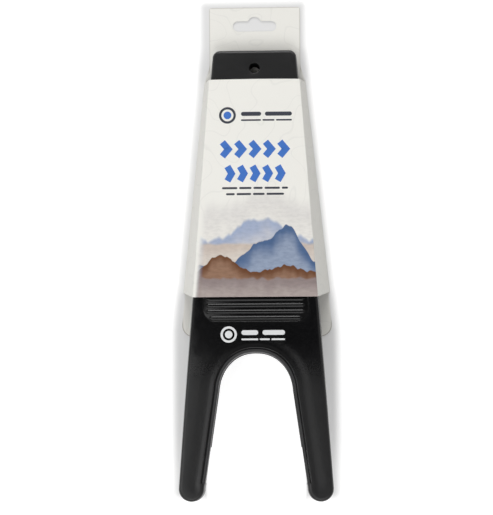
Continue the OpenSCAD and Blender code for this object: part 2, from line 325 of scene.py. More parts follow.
@dataclass(frozen=True)
class JackPlan:
    """Sizes of the jack's plan, and where its top face lies."""

    length: float = 324.8 * MM
    heel_width: float = 60.2 * MM
    fork_width: float = 109.8 * MM
    bow: float = 0.9 * MM
    slope: float = math.radians(7.5)
    heel_top: float = 12.6 * MM
    heel_radius: float = 5.5 * MM
    tip_depth: float = 13 * MM
    draft: float = math.radians(2)
    header_reach: float = 32.9 * MM
    notch_half: float = 26.7 * MM
    notch_flare: float = 0.142
    notch_end: float = 220 * MM
    notch_round: float = 27.5 * MM
    notch_power: float = 2.2
    tip_trim: float = 0.15 * MM

    @property
    def heel_y(self) -> float:
        """Y of the heel edge."""
        tip = self.tip_depth * (math.sin(self.slope) + math.tan(self.draft))
        return (self.length * math.cos(self.slope) + tip - self.header_reach) / 2

    @property
    def placing(self) -> Matrix:
        """Matrix from (x, -s, w) on the top face to the frame."""
        return Matrix.Translation((0, self.heel_y, self.heel_top)) @ Matrix.Rotation(-self.slope, 4, "X")

    @property
    def notch_join(self) -> float:
        """Place where the notch's round end meets its straight sides."""
        return self.notch_end + self.notch_round

    def at(self, x: float, s: float, w: float = 0.0) -> Vector:
        """Point of the frame at x, s and w."""
        return self.placing @ Vector((x, -s, w))

    def s_at(self, y: float, z: float) -> float:
        """Place s of a point at y and z."""
        return (self.heel_y - y) * math.cos(self.slope) + (z - self.heel_top) * math.sin(self.slope)

    def half_width(self, s: float) -> float:
        """Half width of the jack at s."""
        t = s / self.length
        return self.heel_width / 2 + (self.fork_width - self.heel_width) / 2 * t + self.bow * 4 * t * (1 - t)

    def notch_side(self, s: float) -> float:
        """Half width of the straight part of the notch at s."""
        return self.notch_half + self.notch_flare * (s - self.notch_join)

    def tip_radius(self, s: float) -> float:
        """Radius of an arm's round end if it starts at s."""
        return (self.half_width(s) - self.notch_side(s)) / 2

    @property
    def tip_start(self) -> float:
        """Place where the arms' round ends start."""
        return self.length - self.tip_radius(self.length - self.tip_radius(self.length)) - self.tip_trim

    def notch_edge(self, mouth: float, straight: int = 30, turn: int = 48) -> list[Point2]:
        """Right-hand edge of the notch, from its mouth to the middle of its closed end.

        Args:
            mouth: Place s where the edge starts.
            straight: Number of steps of the straight side.
            turn: Number of steps of the round end.

        Returns:
            Points (x, -s).
        """
        made = []
        for i in range(straight):
            s = mouth + (self.notch_join - mouth) * i / straight
            made.append((self.notch_side(s), -s))
        power = 2 / self.notch_power
        for a in arc(turn):
            back = self.notch_round * math.sin(a) ** power
            across = (self.notch_half - self.notch_flare / 2 * back) * max(0.0, math.cos(a)) ** power
            made.append((across, back - self.notch_join))
        return made


@dataclass(frozen=True)
class Edges:
    """Sizes of the body's edges, walls and ribs."""

    fillet: float = 2.5 * MM
    rim: float = 0.7 * MM
    wall: float = 3 * MM
    plate: float = 3.2 * MM
    rib: float = 2 * MM
    rib_pitch: float = 28 * MM
    arm_ribs: tuple[float, ...] = (256 * MM, 278 * MM, 300 * MM)
    long_rib_heel: float = 9.5 * MM
    long_rib_fork: float = 15 * MM
    arm_depth: float = 17 * MM
    deep: float = 70 * MM
    belly: float = 2.2 * MM
    relief: float = 2 * MM
    leg_rear: float = -26 * MM
    leg_front: float = -62 * MM
    leg_rake: float = math.radians(5.5)
    leg_curve: float = 8 * MM
    leg_rise: Span = (5 * MM, 1 * MM)
    heel_rise: Span = (30 * MM, 34 * MM)
    soft: float = 3 * MM
    arm_start: float = 5 * MM


@dataclass(frozen=True)
class LinerSizes:
    """Sizes of the rubber strip round the notch."""

    width: float = 2.6 * MM
    height: float = 12.6 * MM
    drop: float = 0.8 * MM
    bare_end: float = 3.6 * MM
    gap: float = 0.1 * MM
    corner: float = 0.8 * MM


@dataclass(frozen=True)
class TreadSizes:
    """Sizes of the ridged tread."""

    ridges: int = 30
    pitch: float = 4.5 * MM
    foot: float = 3.2 * MM
    crest: float = 1.1 * MM
    height: float = 0.8 * MM
    end: float = 198.2 * MM
    margin: float = 8 * MM
    corner: float = 9 * MM
    thickness: float = 1.2 * MM
    gap: float = 0.1 * MM

    @property
    def start(self) -> float:
        """Place of the tread's end nearest the heel."""
        return self.end - self.ridges * self.pitch

    def outline(self, plan: JackPlan, grow: float = 0.0) -> list[Point2]:
        """Plan of the tread, grown by an amount."""
        near, far = (plan.half_width(s) - self.margin + grow for s in (self.start, self.end))
        top, bottom = grow - self.start, -self.end - grow
        corners = ((near, top), (far, bottom), (-far, bottom), (-near, top))
        return rounded([(x, y, self.corner + grow) for x, y in corners], 12)


@dataclass(frozen=True)
class SleeveSizes:
    """Sizes of the folded card sleeve."""

    card: float = 0.5 * MM
    header_width: float = 66.8 * MM
    narrow: float = 74.6 * MM
    wide: float = 108.2 * MM
    tongue: float = 32.8 * MM
    tongue_radius: float = 8.5 * MM
    lean: float = math.radians(14.7)
    gap: float = 1.0 * MM
    start: float = 22.5 * MM
    end: float = 181.1 * MM
    crease: float = 0.9 * MM
    crown: float = 0.35 * MM
    cut_arc: float = 0.2 * MM


# Finishes


class Tree:
    """Short form for building one node tree."""

    def __init__(self, tree: bpy.types.NodeTree) -> None:
        """Start with an empty tree."""
        self.tree = tree
        self.tree.nodes.clear()

    def add(self, kind: str, inputs: dict | None = None, **settings: object) -> bpy.types.Node:
        """Add a node, set its properties and feed its inputs by name or number."""
        node = self.tree.nodes.new(kind)
        for key, value in settings.items():
            setattr(node, key, value)
        for key, value in (inputs or {}).items():
            self.feed(node.inputs[key], value)
        return node

    def feed(self, socket: Socket, value: object) -> None:
        """Link an output to a socket, or set the socket's value."""
        if isinstance(value, Socket):
            self.tree.links.new(value, socket)
        elif isinstance(value, tuple) and len(value) == 3 and socket.type == "RGBA":
            socket.default_value = (*value, 1.0)
        else:
            socket.default_value = value

    def math(self, how: str, first: object, *others: object) -> Socket:
        """Result of a Math node, or of a chain of them over three values or more."""
        for other in others or (0.0,):
            first = self.add("ShaderNodeMath", {0: first, 1: other}, operation=how).outputs[0]
        return first

    def split(self, where: object) -> list[Socket]:
        """The three coordinates of a place."""
        return list(self.add("ShaderNodeSeparateXYZ", {0: where}).outputs)

    def bell(self, terms: Iterable[tuple[object, object, object]]) -> Socket:
        """Bell curve.

        Args:
            terms: The values that it depends on, each with its middle and its width.

        Returns:
            1 where every value is at its middle, falling to 0 away from there.
        """
        total: object = 0.0
        for value, middle, width in terms:
            off = self.math("DIVIDE", self.math("SUBTRACT", value, middle), width)
            total = self.math("ADD", total, self.math("MULTIPLY", off, off))
        return self.math("POWER", math.e, self.math("MULTIPLY", total, -1.0))


class MaterialTree(Tree):
    """Node tree of one material."""

    def __init__(self, name: str) -> None:
        """Start a material with a shader and an output."""
        self.material = bpy.data.materials.new(name)
        self.material.use_nodes = True
        super().__init__(self.material.node_tree)
        self.shader = self.add("ShaderNodeBsdfPrincipled")
        self.out = self.add("ShaderNodeOutputMaterial", {"Surface": self.shader.outputs[0]})

    def coat(self, colour: object, roughness: object, specular: float = 0.5,
             normal: object = None) -> Material:
        """Feed the shader's colour, roughness, sheen and normal, and return the material."""
        inputs = {"Base Color": colour, "Roughness": roughness, "Specular IOR Level": specular}
        if normal is not None:
            inputs["Normal"] = normal
        for key, value in inputs.items():
            self.feed(self.shader.inputs[key], value)
        return self.material

    def ramp(self, value: object, low: float, high: float,
             to_low: float = 0.0, to_high: float = 1.0) -> Socket:
        """Smooth change from to_low to to_high as the value goes from low to high."""
        inputs = dict(enumerate((value, low, high, to_low, to_high)))
        return self.add("ShaderNodeMapRange", inputs, interpolation_type="SMOOTHSTEP").outputs[0]

    def mix(self, factor: object, a: object, b: object) -> Socket:
        """Colour between a and b."""
        node = self.add("ShaderNodeMix", {"Factor": factor}, data_type="RGBA")
        colours = [s for s in node.inputs if s.type == "RGBA"]
        self.feed(colours[0], a)
        self.feed(colours[1], b)
        return next(s for s in node.outputs if s.type == "RGBA")

    def noise(self, where: object, size: float, detail: float = 2.0, rough: float = 0.5) -> Socket:
        """Value of a noise pattern whose blotches have a size in metres."""
        inputs = {"Vector": where, "Scale": 1 / size, "Detail": detail, "Roughness": rough}
        return self.add("ShaderNodeTexNoise", inputs).outputs["Fac"]

    def bump(self, height: object, distance: float) -> Socket:
        """Normal that follows a height pattern."""
        inputs = {"Strength": 1.0, "Distance": distance, "Height": height}
        return self.add("ShaderNodeBump", inputs).outputs["Normal"]

    def place(self) -> Socket:
        """Place on the object, in metres."""
        return self.add("ShaderNodeTexCoord").outputs["Object"]


@dataclass(frozen=True)
class MouldedPlastic:
    """Satin moulded plastic: a fine spark-eroded grain, and a polished field between tread and notch."""

    plan: JackPlan
    colour: Colour = (0.0038, 0.0038, 0.0042)
    lift: float = 1.5
    roughness: float = 0.38
    polished: float = 0.13
    field_start: float = 176 * MM
    field_end: float = 226 * MM
    field_edge: float = 9 * MM
    field_fade: Span = (-2.0, 3.0)
    field_depth: Span = (-2.5 * MM, -1.5 * MM)
    field_calm: float = 0.7
    grain: float = 0.6 * MM
    cloud: float = 38 * MM
    fleck: float = 2.2 * MM
    depth: float = 0.018 * MM
    spread: Span = (0.3, 0.7)
    cloud_spread: Span = (0.25, 0.8)
    grain_change: Span = (-0.04, 0.05)
    fleck_change: Span = (-0.01, 0.015)

    def on_face(self, n: MaterialTree, where: Socket) -> tuple[Socket, Socket]:
        """A place as s and w of the jack's top face."""
        _, y, z = n.split(where)
        back = n.math("SUBTRACT", self.plan.heel_y, y)
        up = n.math("SUBTRACT", z, self.plan.heel_top)
        cos, sin = math.cos(self.plan.slope), math.sin(self.plan.slope)
        s = n.math("ADD", n.math("MULTIPLY", back, cos), n.math("MULTIPLY", up, sin))
        return s, n.math("SUBTRACT", n.math("MULTIPLY", up, cos), n.math("MULTIPLY", back, sin))

    def make(self, name: str) -> Material:
        """Build the material."""
        n = MaterialTree(name)
        where = n.place()
        s, w = self.on_face(n, where)
        near = [self.field_start + side * self.field_edge for side in (-1, 1)]
        far = [self.field_end + side * self.field_edge for side in self.field_fade]
        polish = n.math("MULTIPLY", n.ramp(s, *near), n.ramp(s, *far, 1.0, 0.0), n.ramp(w, *self.field_depth))
        grain = n.noise(where, self.grain, 3.0, 0.6)
        cloud = n.noise(where, self.cloud, 3.0, 0.55)
        fleck = n.noise(where, self.fleck, 3.0, 0.6)
        shade = n.math("MULTIPLY", n.ramp(cloud, *self.cloud_spread), n.ramp(fleck, *self.spread))
        low, high = (self.roughness + change for change in self.grain_change)
        rough = n.math("ADD", n.ramp(grain, *self.spread, low, high),
                       n.ramp(fleck, *self.spread, *self.fleck_change))
        rough = n.math("SUBTRACT", rough, n.math("MULTIPLY", polish, self.roughness - self.polished))
        calm = n.math("SUBTRACT", 1.0, n.math("MULTIPLY", polish, self.field_calm))
        return n.coat(n.mix(shade, self.colour, tuple(self.lift * c for c in self.colour)), rough,
                      normal=n.bump(n.math("MULTIPLY", grain, calm), self.depth))


@dataclass(frozen=True)
class Rubber:
    """Rubber with a soft sheen and a thin veil of dust."""

    colour: Colour
    roughness: float = 0.55
    uneven: float = 1.0
    specular: float = 0.5
    grain: float = 0.8 * MM
    depth: float = 0.01 * MM
    dust: float = 14 * MM
    dust_change: Span = (-0.05, 0.08)
    dust_share: float = 0.35
    dust_level: float = 0.002
    dust_spread: Span = (0.3, 0.8)
    rough_spread: Span = (0.2, 0.8)

    def make(self, name: str) -> Material:
        """Build the material."""
        n = MaterialTree(name)
        where = n.place()
        grain = n.noise(where, self.grain, 2.0, 0.55)
        dust = n.noise(where, self.dust, 4.0, 0.6)
        pale = tuple(c + (self.dust_share * c + self.dust_level) * self.uneven for c in self.colour)
        low, high = (self.roughness + change * self.uneven for change in self.dust_change)
        colour = n.mix(n.ramp(dust, *self.dust_spread), self.colour, pale)
        return n.coat(colour, n.ramp(dust, *self.rough_spread, low, high), self.specular,
                      n.bump(grain, self.depth))


@dataclass(frozen=True)
class Board:
    """Coated white board printed with faint contour lines."""

    colour: Colour = (0.85, 0.84, 0.795)
    line: Colour = (0.74, 0.735, 0.70)
    roughness: float = 0.55
    specular: float = 0.15
    land: float = 36 * MM
    levels: float = 9.0
    line_edge: Span = (0.02, 0.07)
    line_strength: float = 0.35
    fibre: float = 1.2 * MM
    fibre_depth: float = 0.004 * MM
    fibre_shade: float = 0.93
    fibre_share: float = 0.06
    fibre_spread: Span = (0.35, 0.7)

    def place(self, n: MaterialTree) -> Socket:
        """Where the print lies."""
        return n.place()

    def paint(self, n: MaterialTree, where: Socket) -> Socket:
        """Colour of the board with its contour lines."""
        land = n.math("FRACT", n.math("MULTIPLY", n.noise(where, self.land, 1.0, 0.4), self.levels))
        near = n.math("ABSOLUTE", n.math("SUBTRACT", land, 0.5))
        line = n.ramp(near, *self.line_edge, self.line_strength, 0.0)
        fibre = n.ramp(n.noise(where, self.fibre, 3.0, 0.6), *self.fibre_spread, 0.0, self.fibre_share)
        base = n.mix(fibre, self.colour, tuple(self.fibre_shade * c for c in self.colour))
        return n.mix(line, base, self.line)

    def make(self, name: str) -> Material:
        """Build the material."""
        n = MaterialTree(name)
        where = self.place(n)
        fibre = n.noise(where, self.fibre, 3.0, 0.6)
        relief = n.bump(fibre, self.fibre_depth)
        return n.coat(self.paint(n, where), self.roughness, self.specular, relief)


@dataclass(frozen=True)
class TongueBoard(Board):
    """Board of the back card, with a thin dark band painted along the cut edges of tongue and header: painted
    edge shadow, in the grey-brown of the board's cut core.
    """

    half: float = 56.1 * MM
    end: float = -0.07
    corner: float = 8.5 * MM
    width: float = 0.9 * MM
    soft: float = 0.3
    sides: Span = (28 * MM, 34 * MM)
    side_strength: float = 0.75
    header_half: float = 33.4 * MM
    header_end: float = 0.1785
    header_line: float = 0.6 * MM
    header_soft: float = 0.2
    header_root: Span = (0.128, 0.134)
    header_strength: float = 0.5
    # Colour of the painted edge shadow, the grey-brown of the board's cut core.
    edge_shadow_core: Colour = (0.34, 0.31, 0.27)

    def paint(self, n: MaterialTree, where: Socket) -> Socket:
        """Colour of the board with its contour lines and the painted edge shadow along its edges."""
        board = super().paint(n, where)
        x, y, _ = n.split(where)
        width = n.math("ABSOLUTE", x)
        across = n.math("SUBTRACT", width, self.half - self.corner)
        along = n.math("SUBTRACT", self.end + self.corner, y)
        out = [n.math("MAXIMUM", v, 0.0) for v in (across, along)]
        away = n.math("SQRT", n.math("ADD", *[n.math("MULTIPLY", v, v) for v in out]))
        away = n.math("ADD", away, n.math("MINIMUM", n.math("MAXIMUM", across, along), 0.0))
        # Painted edge shadow: a thin dark band along the tongue's edges, strongest at its far end.
        rim = n.math("MULTIPLY", n.ramp(away, self.corner - self.width, self.corner - self.soft * self.width),
                     n.ramp(y, *[self.end + side for side in self.sides], self.side_strength, 0.0))
        # Painted edge shadow along the header's sides and top edge, above the heel.
        line = [n.ramp(v, edge - self.header_line, edge - self.header_soft * self.header_line)
                for v, edge in ((width, self.header_half), (y, self.header_end))]
        header_edge_shade = n.math("MULTIPLY", n.math("MAXIMUM", *line),
                      n.ramp(y, *self.header_root, 0.0, self.header_strength))
        return n.mix(n.math("MAXIMUM", rim, header_edge_shade), board, self.edge_shadow_core)


@dataclass(frozen=True)
class Hill:
    """One layer of the printed landscape: a smooth ridge that fades into mist below its skyline."""

    colour: Colour
    mist: Colour
    skyline: float
    wave: float
    wavelength: float
    seed: float
    fade: float = 16 * MM
    peaks: tuple[Point3, ...] = ()
    blur: float = 0.6 * MM
    strength: float = 1.0


@dataclass(frozen=True)
class PrintedBoard(Board):
    """Board with a soft landscape printed across the wide end of the front."""

    crease_start: float = 33.6 * MM
    crease_end: float = 44.6 * MM
    start: float = 22.5 * MM
    end: float = 181.1 * MM
    right_edge: Span = (-0.1 * MM, 0.2 * MM)
    left_fade: Span = (1 * MM, 7 * MM)
    streak: float = 5 * MM
    streak_squeeze: float = 2.5
    streak_shade: float = 0.55
    streak_share: float = 0.22
    streak_spread: Span = (0.35, 0.7)
    skyline_detail: float = 1.5
    skyline_rough: float = 0.35
    patch: float = 16 * MM
    hills: tuple[Hill, ...] = (
        Hill((0.71, 0.69, 0.67), (0.80, 0.78, 0.74), 118 * MM, 4 * MM, 52 * MM, 1.7, 24 * MM,
             ((12 * MM, 8 * MM, 20 * MM),), 8 * MM, 0.85),
        Hill((0.28, 0.36, 0.55), (0.58, 0.58, 0.62), 140 * MM, 3 * MM, 30 * MM, 4.2, 20 * MM,
             ((12 * MM, -6 * MM, 11 * MM), (13 * MM, 12 * MM, 13 * MM)), 1.8 * MM, 0.85),
        Hill((0.60, 0.50, 0.42), (0.70, 0.63, 0.56), 143 * MM, 1.5 * MM, 60 * MM, 6.6, 12 * MM,
             (), 1.2 * MM, 0.9),
        Hill((0.075, 0.135, 0.27), (0.30, 0.36, 0.48), 158 * MM, 2.5 * MM, 26 * MM, 9.1, 17 * MM,
             ((27 * MM, 24 * MM, 12 * MM), (15 * MM, 3 * MM, 13 * MM)), 0.5 * MM),
        Hill((0.15, 0.060, 0.027), (0.30, 0.175, 0.115), 164 * MM, 2.2 * MM, 24 * MM, 12.4, 9 * MM,
             ((13 * MM, -24 * MM, 13 * MM), (5 * MM, 22 * MM, 14 * MM)), 0.4 * MM),
        Hill((0.28, 0.235, 0.235), (0.44, 0.385, 0.37), 168 * MM, 2 * MM, 34 * MM, 15.8, 13 * MM,
             (), 1.0 * MM, 0.9),
    )

    def place(self, n: MaterialTree) -> Socket:
        """Where the print lies: across from the middle line, and down the front."""
        return n.add("ShaderNodeUVMap", uv_map="print").outputs[0]

    def paint(self, n: MaterialTree, where: Socket) -> Socket:
        """Colour of the board with the landscape, which fades out towards the left-hand crease."""
        u, v, _ = n.split(where)
        share = n.math("DIVIDE", n.math("SUBTRACT", v, self.start), self.end - self.start)
        widening = n.math("MULTIPLY", share, self.crease_end - self.crease_start)
        crease = n.math("ADD", widening, self.crease_start)
        window = n.math("MULTIPLY", n.ramp(n.math("SUBTRACT", crease, u), *self.right_edge),
                        n.ramp(n.math("ADD", crease, u), *self.left_fade))
        squeeze = n.add("ShaderNodeMapping", {"Vector": where, "Scale": (1.0, self.streak_squeeze, 1.0)})
        streak = n.noise(squeeze.outputs[0], self.streak, 4.0, 0.6)
        patch = n.math("SUBTRACT", n.noise(where, self.patch), 0.5)
        colour = super().paint(n, where)
        for hill in self.hills:
            below = n.math("SUBTRACT", v, self.skyline(n, u, hill))
            mask = n.ramp(below, -hill.blur, hill.blur, 0.0, hill.strength)
            depth = n.math("ADD", n.math("DIVIDE", below, hill.fade), patch)
            tone = n.mix(n.ramp(depth, 0.0, 1.0), hill.colour, hill.mist)
            dark = tuple(self.streak_shade * c for c in hill.colour)
            tone = n.mix(n.ramp(streak, *self.streak_spread, 0.0, self.streak_share), tone, dark)
            colour = n.mix(n.math("MULTIPLY", mask, window), colour, tone)
        return colour

    def skyline(self, n: MaterialTree, u: Socket, hill: Hill) -> Socket:
        """Place down the front of a hill's skyline.

        Args:
            n: The material's nodes.
            u: Printed distance from the middle line.
            hill: The layer.

        Returns:
            The place as a node's output.
        """
        along = n.math("ADD", n.math("DIVIDE", u, hill.wavelength), hill.seed)
        wave = n.add("ShaderNodeTexNoise", noise_dimensions="1D")
        for key, value in (("W", along), ("Detail", self.skyline_detail), ("Roughness", self.skyline_rough)):
            n.feed(wave.inputs[key], value)
        swing = n.math("MULTIPLY", n.math("SUBTRACT", wave.outputs["Fac"], 0.5), 2 * hill.wave)
        line = n.math("ADD", swing, hill.skyline)
        for height, place, width in hill.peaks:
            line = n.math("SUBTRACT", line, n.math("MULTIPLY", n.bell([(u, place, width)]), height))
        return line


@dataclass(frozen=True)
class Ink:
    """Flat printing ink."""

    colour: Colour
    roughness: float = 0.45
    grain: float = 0.5 * MM
    depth: float = 0.003 * MM
    worn: float = 0.25
    worn_spread: Span = (0.55, 0.8)
    worn_share: float = 0.8
    worn_level: float = 0.03

    def make(self, name: str) -> Material:
        """Build the material."""
        n = MaterialTree(name)
        grain = n.noise(n.place(), self.grain, 2.0, 0.6)
        faded = tuple(self.worn_share * c + self.worn_level for c in self.colour)
        colour = n.mix(n.ramp(grain, *self.worn_spread, 0.0, self.worn), self.colour, faded)
        return n.coat(colour, self.roughness, normal=n.bump(grain, self.depth))


def dress(obj: Piece, material: Material, slot: Slot, body: Body) -> None:
    """Give a finished piece its material and attach it to the body that it rides on."""
    obj.data.materials.clear()
    obj.data.materials.append(material)
    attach(obj, body.value)


# Jack


@dataclass
class JackBody:
    """The moulded body: top plate with a shallow valley round the notch, walls, leg and ribs."""

    plan: JackPlan
    edges: Edges = field(default_factory=Edges)
    liner: LinerSizes = field(default_factory=LinerSizes)
    tread: TreadSizes = field(default_factory=TreadSizes)
    hang_radius: float = 3.75 * MM
    hang_s: float = 13.7 * MM
    hang_boss: float = 11.5 * MM
    boss_wall: float = 3 * MM
    boss_radius: float = 7 * MM
    stem_radius: float = 2.55 * MM
    socket_height: float = 6.5 * MM
    heel_foot_x: float = 19 * MM
    leg_foot_x: float = 35 * MM
    valley_depth: float = 0.36 * MM
    valley_place: float = 2.7 * MM
    valley_inner: float = 2.2 * MM
    valley_outer: float = 8.0 * MM
    valley_end: float = 4 * MM
    fine_pitch: float = 1.1 * MM
    coarse_pitch: float = 9 * MM
    lip: float = 0.4 * MM
    bore_start: float = 0.05 * MM
    bore_grain: float = 0.6 * MM
    # Painted shade: the hang hole's wall is darker than the body, for the hole's deep shadow.
    bore_shade_colours: tuple[Colour, Colour] = ((0.0008, 0.0008, 0.0008), (0.0016, 0.0016, 0.0016))
    tread_lip: float = 0.35 * MM
    over: float = 2 * MM
    wide: float = 80 * MM
    tiny: float = 0.02 * MM
    fillet_steps: int = 8
    corner_steps: int = 12
    side_steps: int = 64
    tip_steps: int = 36
    bare_steps: int = 3
    share_steps: int = 60
    share_fall: float = 0.004
    margin: float = 0.5 * MM
    valley_margin: float = 1.5 * MM

    @property
    def mouth(self) -> float:
        """Place where the liner's rebate starts, near the arms' ends."""
        return self.plan.tip_start - self.liner.bare_end + self.liner.gap

    def right_outline(self) -> list[tuple[Point2, bool]]:
        """Right-hand half of the outline, clockwise from the heel.

        Returns:
            Points (x, -s), each with True where the liner's rebate runs.
        """
        plan, corner = self.plan, self.plan.heel_radius
        plain: list[Point2] = []
        for a in arc(self.corner_steps):
            plain.append((plan.half_width(corner) - corner * (1 - math.sin(a)), -corner * (1 - math.cos(a))))
        for i in range(1, self.side_steps + 1):
            s = corner + (plan.tip_start - corner) * i / self.side_steps
            plain.append((plan.half_width(s), -s))
        radius = plan.tip_radius(plan.tip_start)
        middle = (plan.half_width(plan.tip_start) + plan.notch_side(plan.tip_start)) / 2
        for a in arc(self.tip_steps, math.pi)[1:-1]:
            plain.append((middle + radius * math.cos(a), -plan.tip_start - radius * math.sin(a)))
        bare = self.liner.bare_end - 1.5 * self.tiny - self.liner.gap
        for i in range(self.bare_steps + 1):
            s = plan.tip_start - bare * i / self.bare_steps
            plain.append((plan.notch_side(s), -s))
        return [(point, False) for point in plain] + [(point, True) for point in plan.notch_edge(self.mouth)]

    def outline(self) -> tuple[np.ndarray, np.ndarray, np.ndarray]:
        """The whole outline with its outward normals.

        Returns:
            Points, unit normals and the rebate's flags.
        """
        right = self.right_outline()
        left = [((-p[0], p[1]), flag) for p, flag in reversed(right[:-1])]
        whole = right + left
        points = np.array([p for p, _ in whole])
        flags = np.array([flag for _, flag in whole])
        along = np.roll(points, -1, 0) - np.roll(points, 1, 0)
        along /= np.linalg.norm(along, axis=1)[:, None]
        normals = np.stack([-along[:, 1], along[:, 0]], 1)
        return points, normals, flags

    def levels(self) -> list[tuple[Span, Span]]:
        """Height and inset of each ring, for plain walls and for the rebate.

        Returns:
            Pairs of (height, inset), the first for plain walls and the second along the rebate.
        """
        edge, rim = self.edges.fillet, self.edges.rim
        base = self.liner.width + self.liner.gap
        ledge = self.liner.drop + self.liner.height + self.liner.gap
        lean = math.tan(self.plan.draft)
        made = []
        for a in arc(self.fillet_steps):
            drop, inset = 1 - math.cos(a), 1 - math.sin(a)
            made.append(((-edge * drop, edge * inset), (-rim * drop, base + rim * inset)))
        for depth in (ledge, ledge + self.tiny, self.edges.deep):
            wall = (-depth, -(depth - edge) * lean)
            made.append((wall, (-depth, base) if depth == ledge else wall))
        return made

    def height(self, points: np.ndarray, rim: np.ndarray, side: np.ndarray) -> np.ndarray:
        """Height of the top face: flat, with a shallow valley along the notch.

        Args:
            points: Places (x, -s).
            rim: Points of the rim along the notch.
            side: Points of the outline's other edges.

        Returns:
            One height for each place.
        """
        off = nearest(points, rim) - self.valley_place
        off = np.abs(off) / np.where(off < 0, self.valley_inner, self.valley_outer)
        dip = np.where(off < 1, 0.5 * (1 + np.cos(np.pi * np.clip(off, 0, 1))), 0.0)
        edge = np.clip(nearest(points, side) / self.valley_end, 0, 1)
        return -self.valley_depth * dip * edge * edge * (3 - 2 * edge)

    def shell(self) -> Piece:
        """Outer block: top face, fillets and drafted walls."""
        points, normals, flags = self.outline()
        count = len(points)
        rings = []
        for plain, rebate in self.levels():
            inset = np.where(flags, rebate[1], plain[1])[:, None]
            height = np.where(flags, rebate[0], plain[0])[:, None]
            rings.append(np.hstack([points - normals * inset, height]))
        edge = rings[0][:, :2]
        rim, side = edge[flags], edge[~flags]
        everything = [Vector(p) for p in (*edge, *self.inner_points(edge, rim))]
        loop = [(i, (i + 1) % count) for i in range(count)]
        flat, _, triangles, _, _, _ = delaunay_2d_cdt(everything, loop, [], 1, 1e-9)
        flat = np.array([tuple(p) for p in flat])
        top = np.hstack([flat, self.height(flat, rim, side)[:, None]])
        top[nearest(flat, edge) < 1e-8, 2] = 0.0
        verts = [p for ring in rings for p in ring]
        start = len(verts)
        faces = [*ring_faces(count, len(rings)), tuple(range(start - count, start))]
        faces += [tuple(start + i for i in t) for t in triangles]
        return add_object("jack_shell", mesh_of([*verts, *top], faces))

    def inner_points(self, outline: np.ndarray, rim: np.ndarray) -> np.ndarray:
        """Points inside the top face: dense where the valley runs, sparse elsewhere."""
        made = []
        low, high = outline.min(0), outline.max(0)
        reach = self.valley_place + self.valley_outer + self.valley_margin
        for pitch, dense in ((self.fine_pitch, True), (self.coarse_pitch, False)):
            for k, y in enumerate(np.arange(low[1] + pitch / 2, high[1], pitch)):
                xs = np.arange(low[0] + pitch * (0.5 + 0.5 * (k % 2)), high[0], pitch)
                made.append(np.stack([xs, np.full_like(xs, y), np.full_like(xs, float(dense))], 1))
        points = np.concatenate(made)
        keep = inside(points[:, :2], outline) & (nearest(points[:, :2], outline) > self.margin)
        points = points[keep]
        near = nearest(points[:, :2], rim) < reach
        return points[(points[:, 2] > 0.5) == near][:, :2]

    def side_view(self) -> Piece:
        """What remains in the side view: heel and leg reach down, and the arms taper."""
        plan, e = self.plan, self.edges
        rise = plan.at(0, plan.notch_end + e.arm_start, -e.arm_depth).z - e.belly
        line = e.belly + e.relief
        end = plan.at(0, plan.length, -plan.tip_depth)
        beyond, above = 10 * MM, 90 * MM
        (heel_low, heel_high), (leg_high, leg_low) = e.heel_rise, e.leg_rise
        corners = [
            (plan.heel_y + beyond, e.belly, 0), (plan.heel_y - heel_low, e.belly, e.soft),
            (plan.heel_y - heel_high, line, e.soft), (e.leg_rear + leg_high, line, e.soft),
            (e.leg_rear + leg_low, e.belly, e.soft), (e.leg_front, e.belly, e.soft / 2),
            (e.leg_front + rise * math.tan(e.leg_rake), e.belly + rise, e.leg_curve),
            (end.y - beyond, end.z + beyond * math.tan(plan.slope), 0),
            (end.y - beyond, above, 0), (plan.heel_y + beyond, above, 0)]
        mesh = prism(rounded(corners), -self.wide, self.wide)
        mesh.transform(Matrix(((0, 0, 1, 0), (1, 0, 0, 0), (0, 1, 0, 0), (0, 0, 0, 1))))
        turn_outwards(mesh)
        return add_object("side_view", mesh)

    def foot_places(self) -> list[Point2]:
        """X and Y of the four feet."""
        e = self.edges
        places = [(self.heel_foot_x, self.plan.heel_y - self.hang_s),
                  (self.leg_foot_x, (e.leg_rear + e.leg_front) / 2)]
        return [(side * x, y) for x, y in places for side in (-1, 1)]

    def smooth_share(self, flags: np.ndarray) -> np.ndarray:
        """Share of the rebate's depth that the hollow keeps clear, ramped round the arms' ends."""
        share = flags.astype(float)
        for _ in range(self.share_steps):
            share = np.maximum(share, (np.roll(share, 1) + np.roll(share, -1)) / 2 - self.share_fall)
        return np.clip(share, 0, 1)

    def cells(self) -> Piece:
        """The hollow under the top plate, with the ribs left standing."""
        plan, e = self.plan, self.edges
        points, normals, flags = self.outline()
        inset = e.wall + (self.liner.width + self.liner.gap) * self.smooth_share(flags)
        hollow = points - normals * inset[:, None]
        block = add_object("cells", prism([tuple(p) for p in hollow], -e.deep - 5 * MM, -e.plate))
        low, high, wide = -e.deep - 8 * MM, 1 * MM, self.wide
        leg_rear, leg_front = plan.s_at(e.leg_rear, e.belly), plan.s_at(e.leg_front, e.belly)
        walls = [(leg_rear - i * e.rib_pitch, e.rib) for i in range(1, 6)]
        walls += [(leg_rear, e.wall), (leg_front - e.wall, e.wall)]
        walls += [(s, e.rib) for s in e.arm_ribs]
        ribs = [[(-wide, -s - thick), (wide, -s - thick), (wide, -s), (-wide, -s)] for s, thick in walls]
        half = e.rib / 2
        for side in (-1, 1):
            x0, x1 = side * e.long_rib_heel, side * e.long_rib_fork
            ribs.append([(x0 - half, high), (x0 + half, high), (x1 + half, -plan.notch_end),
                         (x1 - half, -plan.notch_end)])
        ribs += [circle(x, -plan.s_at(y, e.belly), self.boss_radius, 48) for x, y in self.foot_places()]
        ribs.append(circle(0, -self.hang_s, self.hang_radius + self.boss_wall, 48))
        cut(block, [add_object("rib", prism(rib, low, high)) for rib in ribs])
        return block

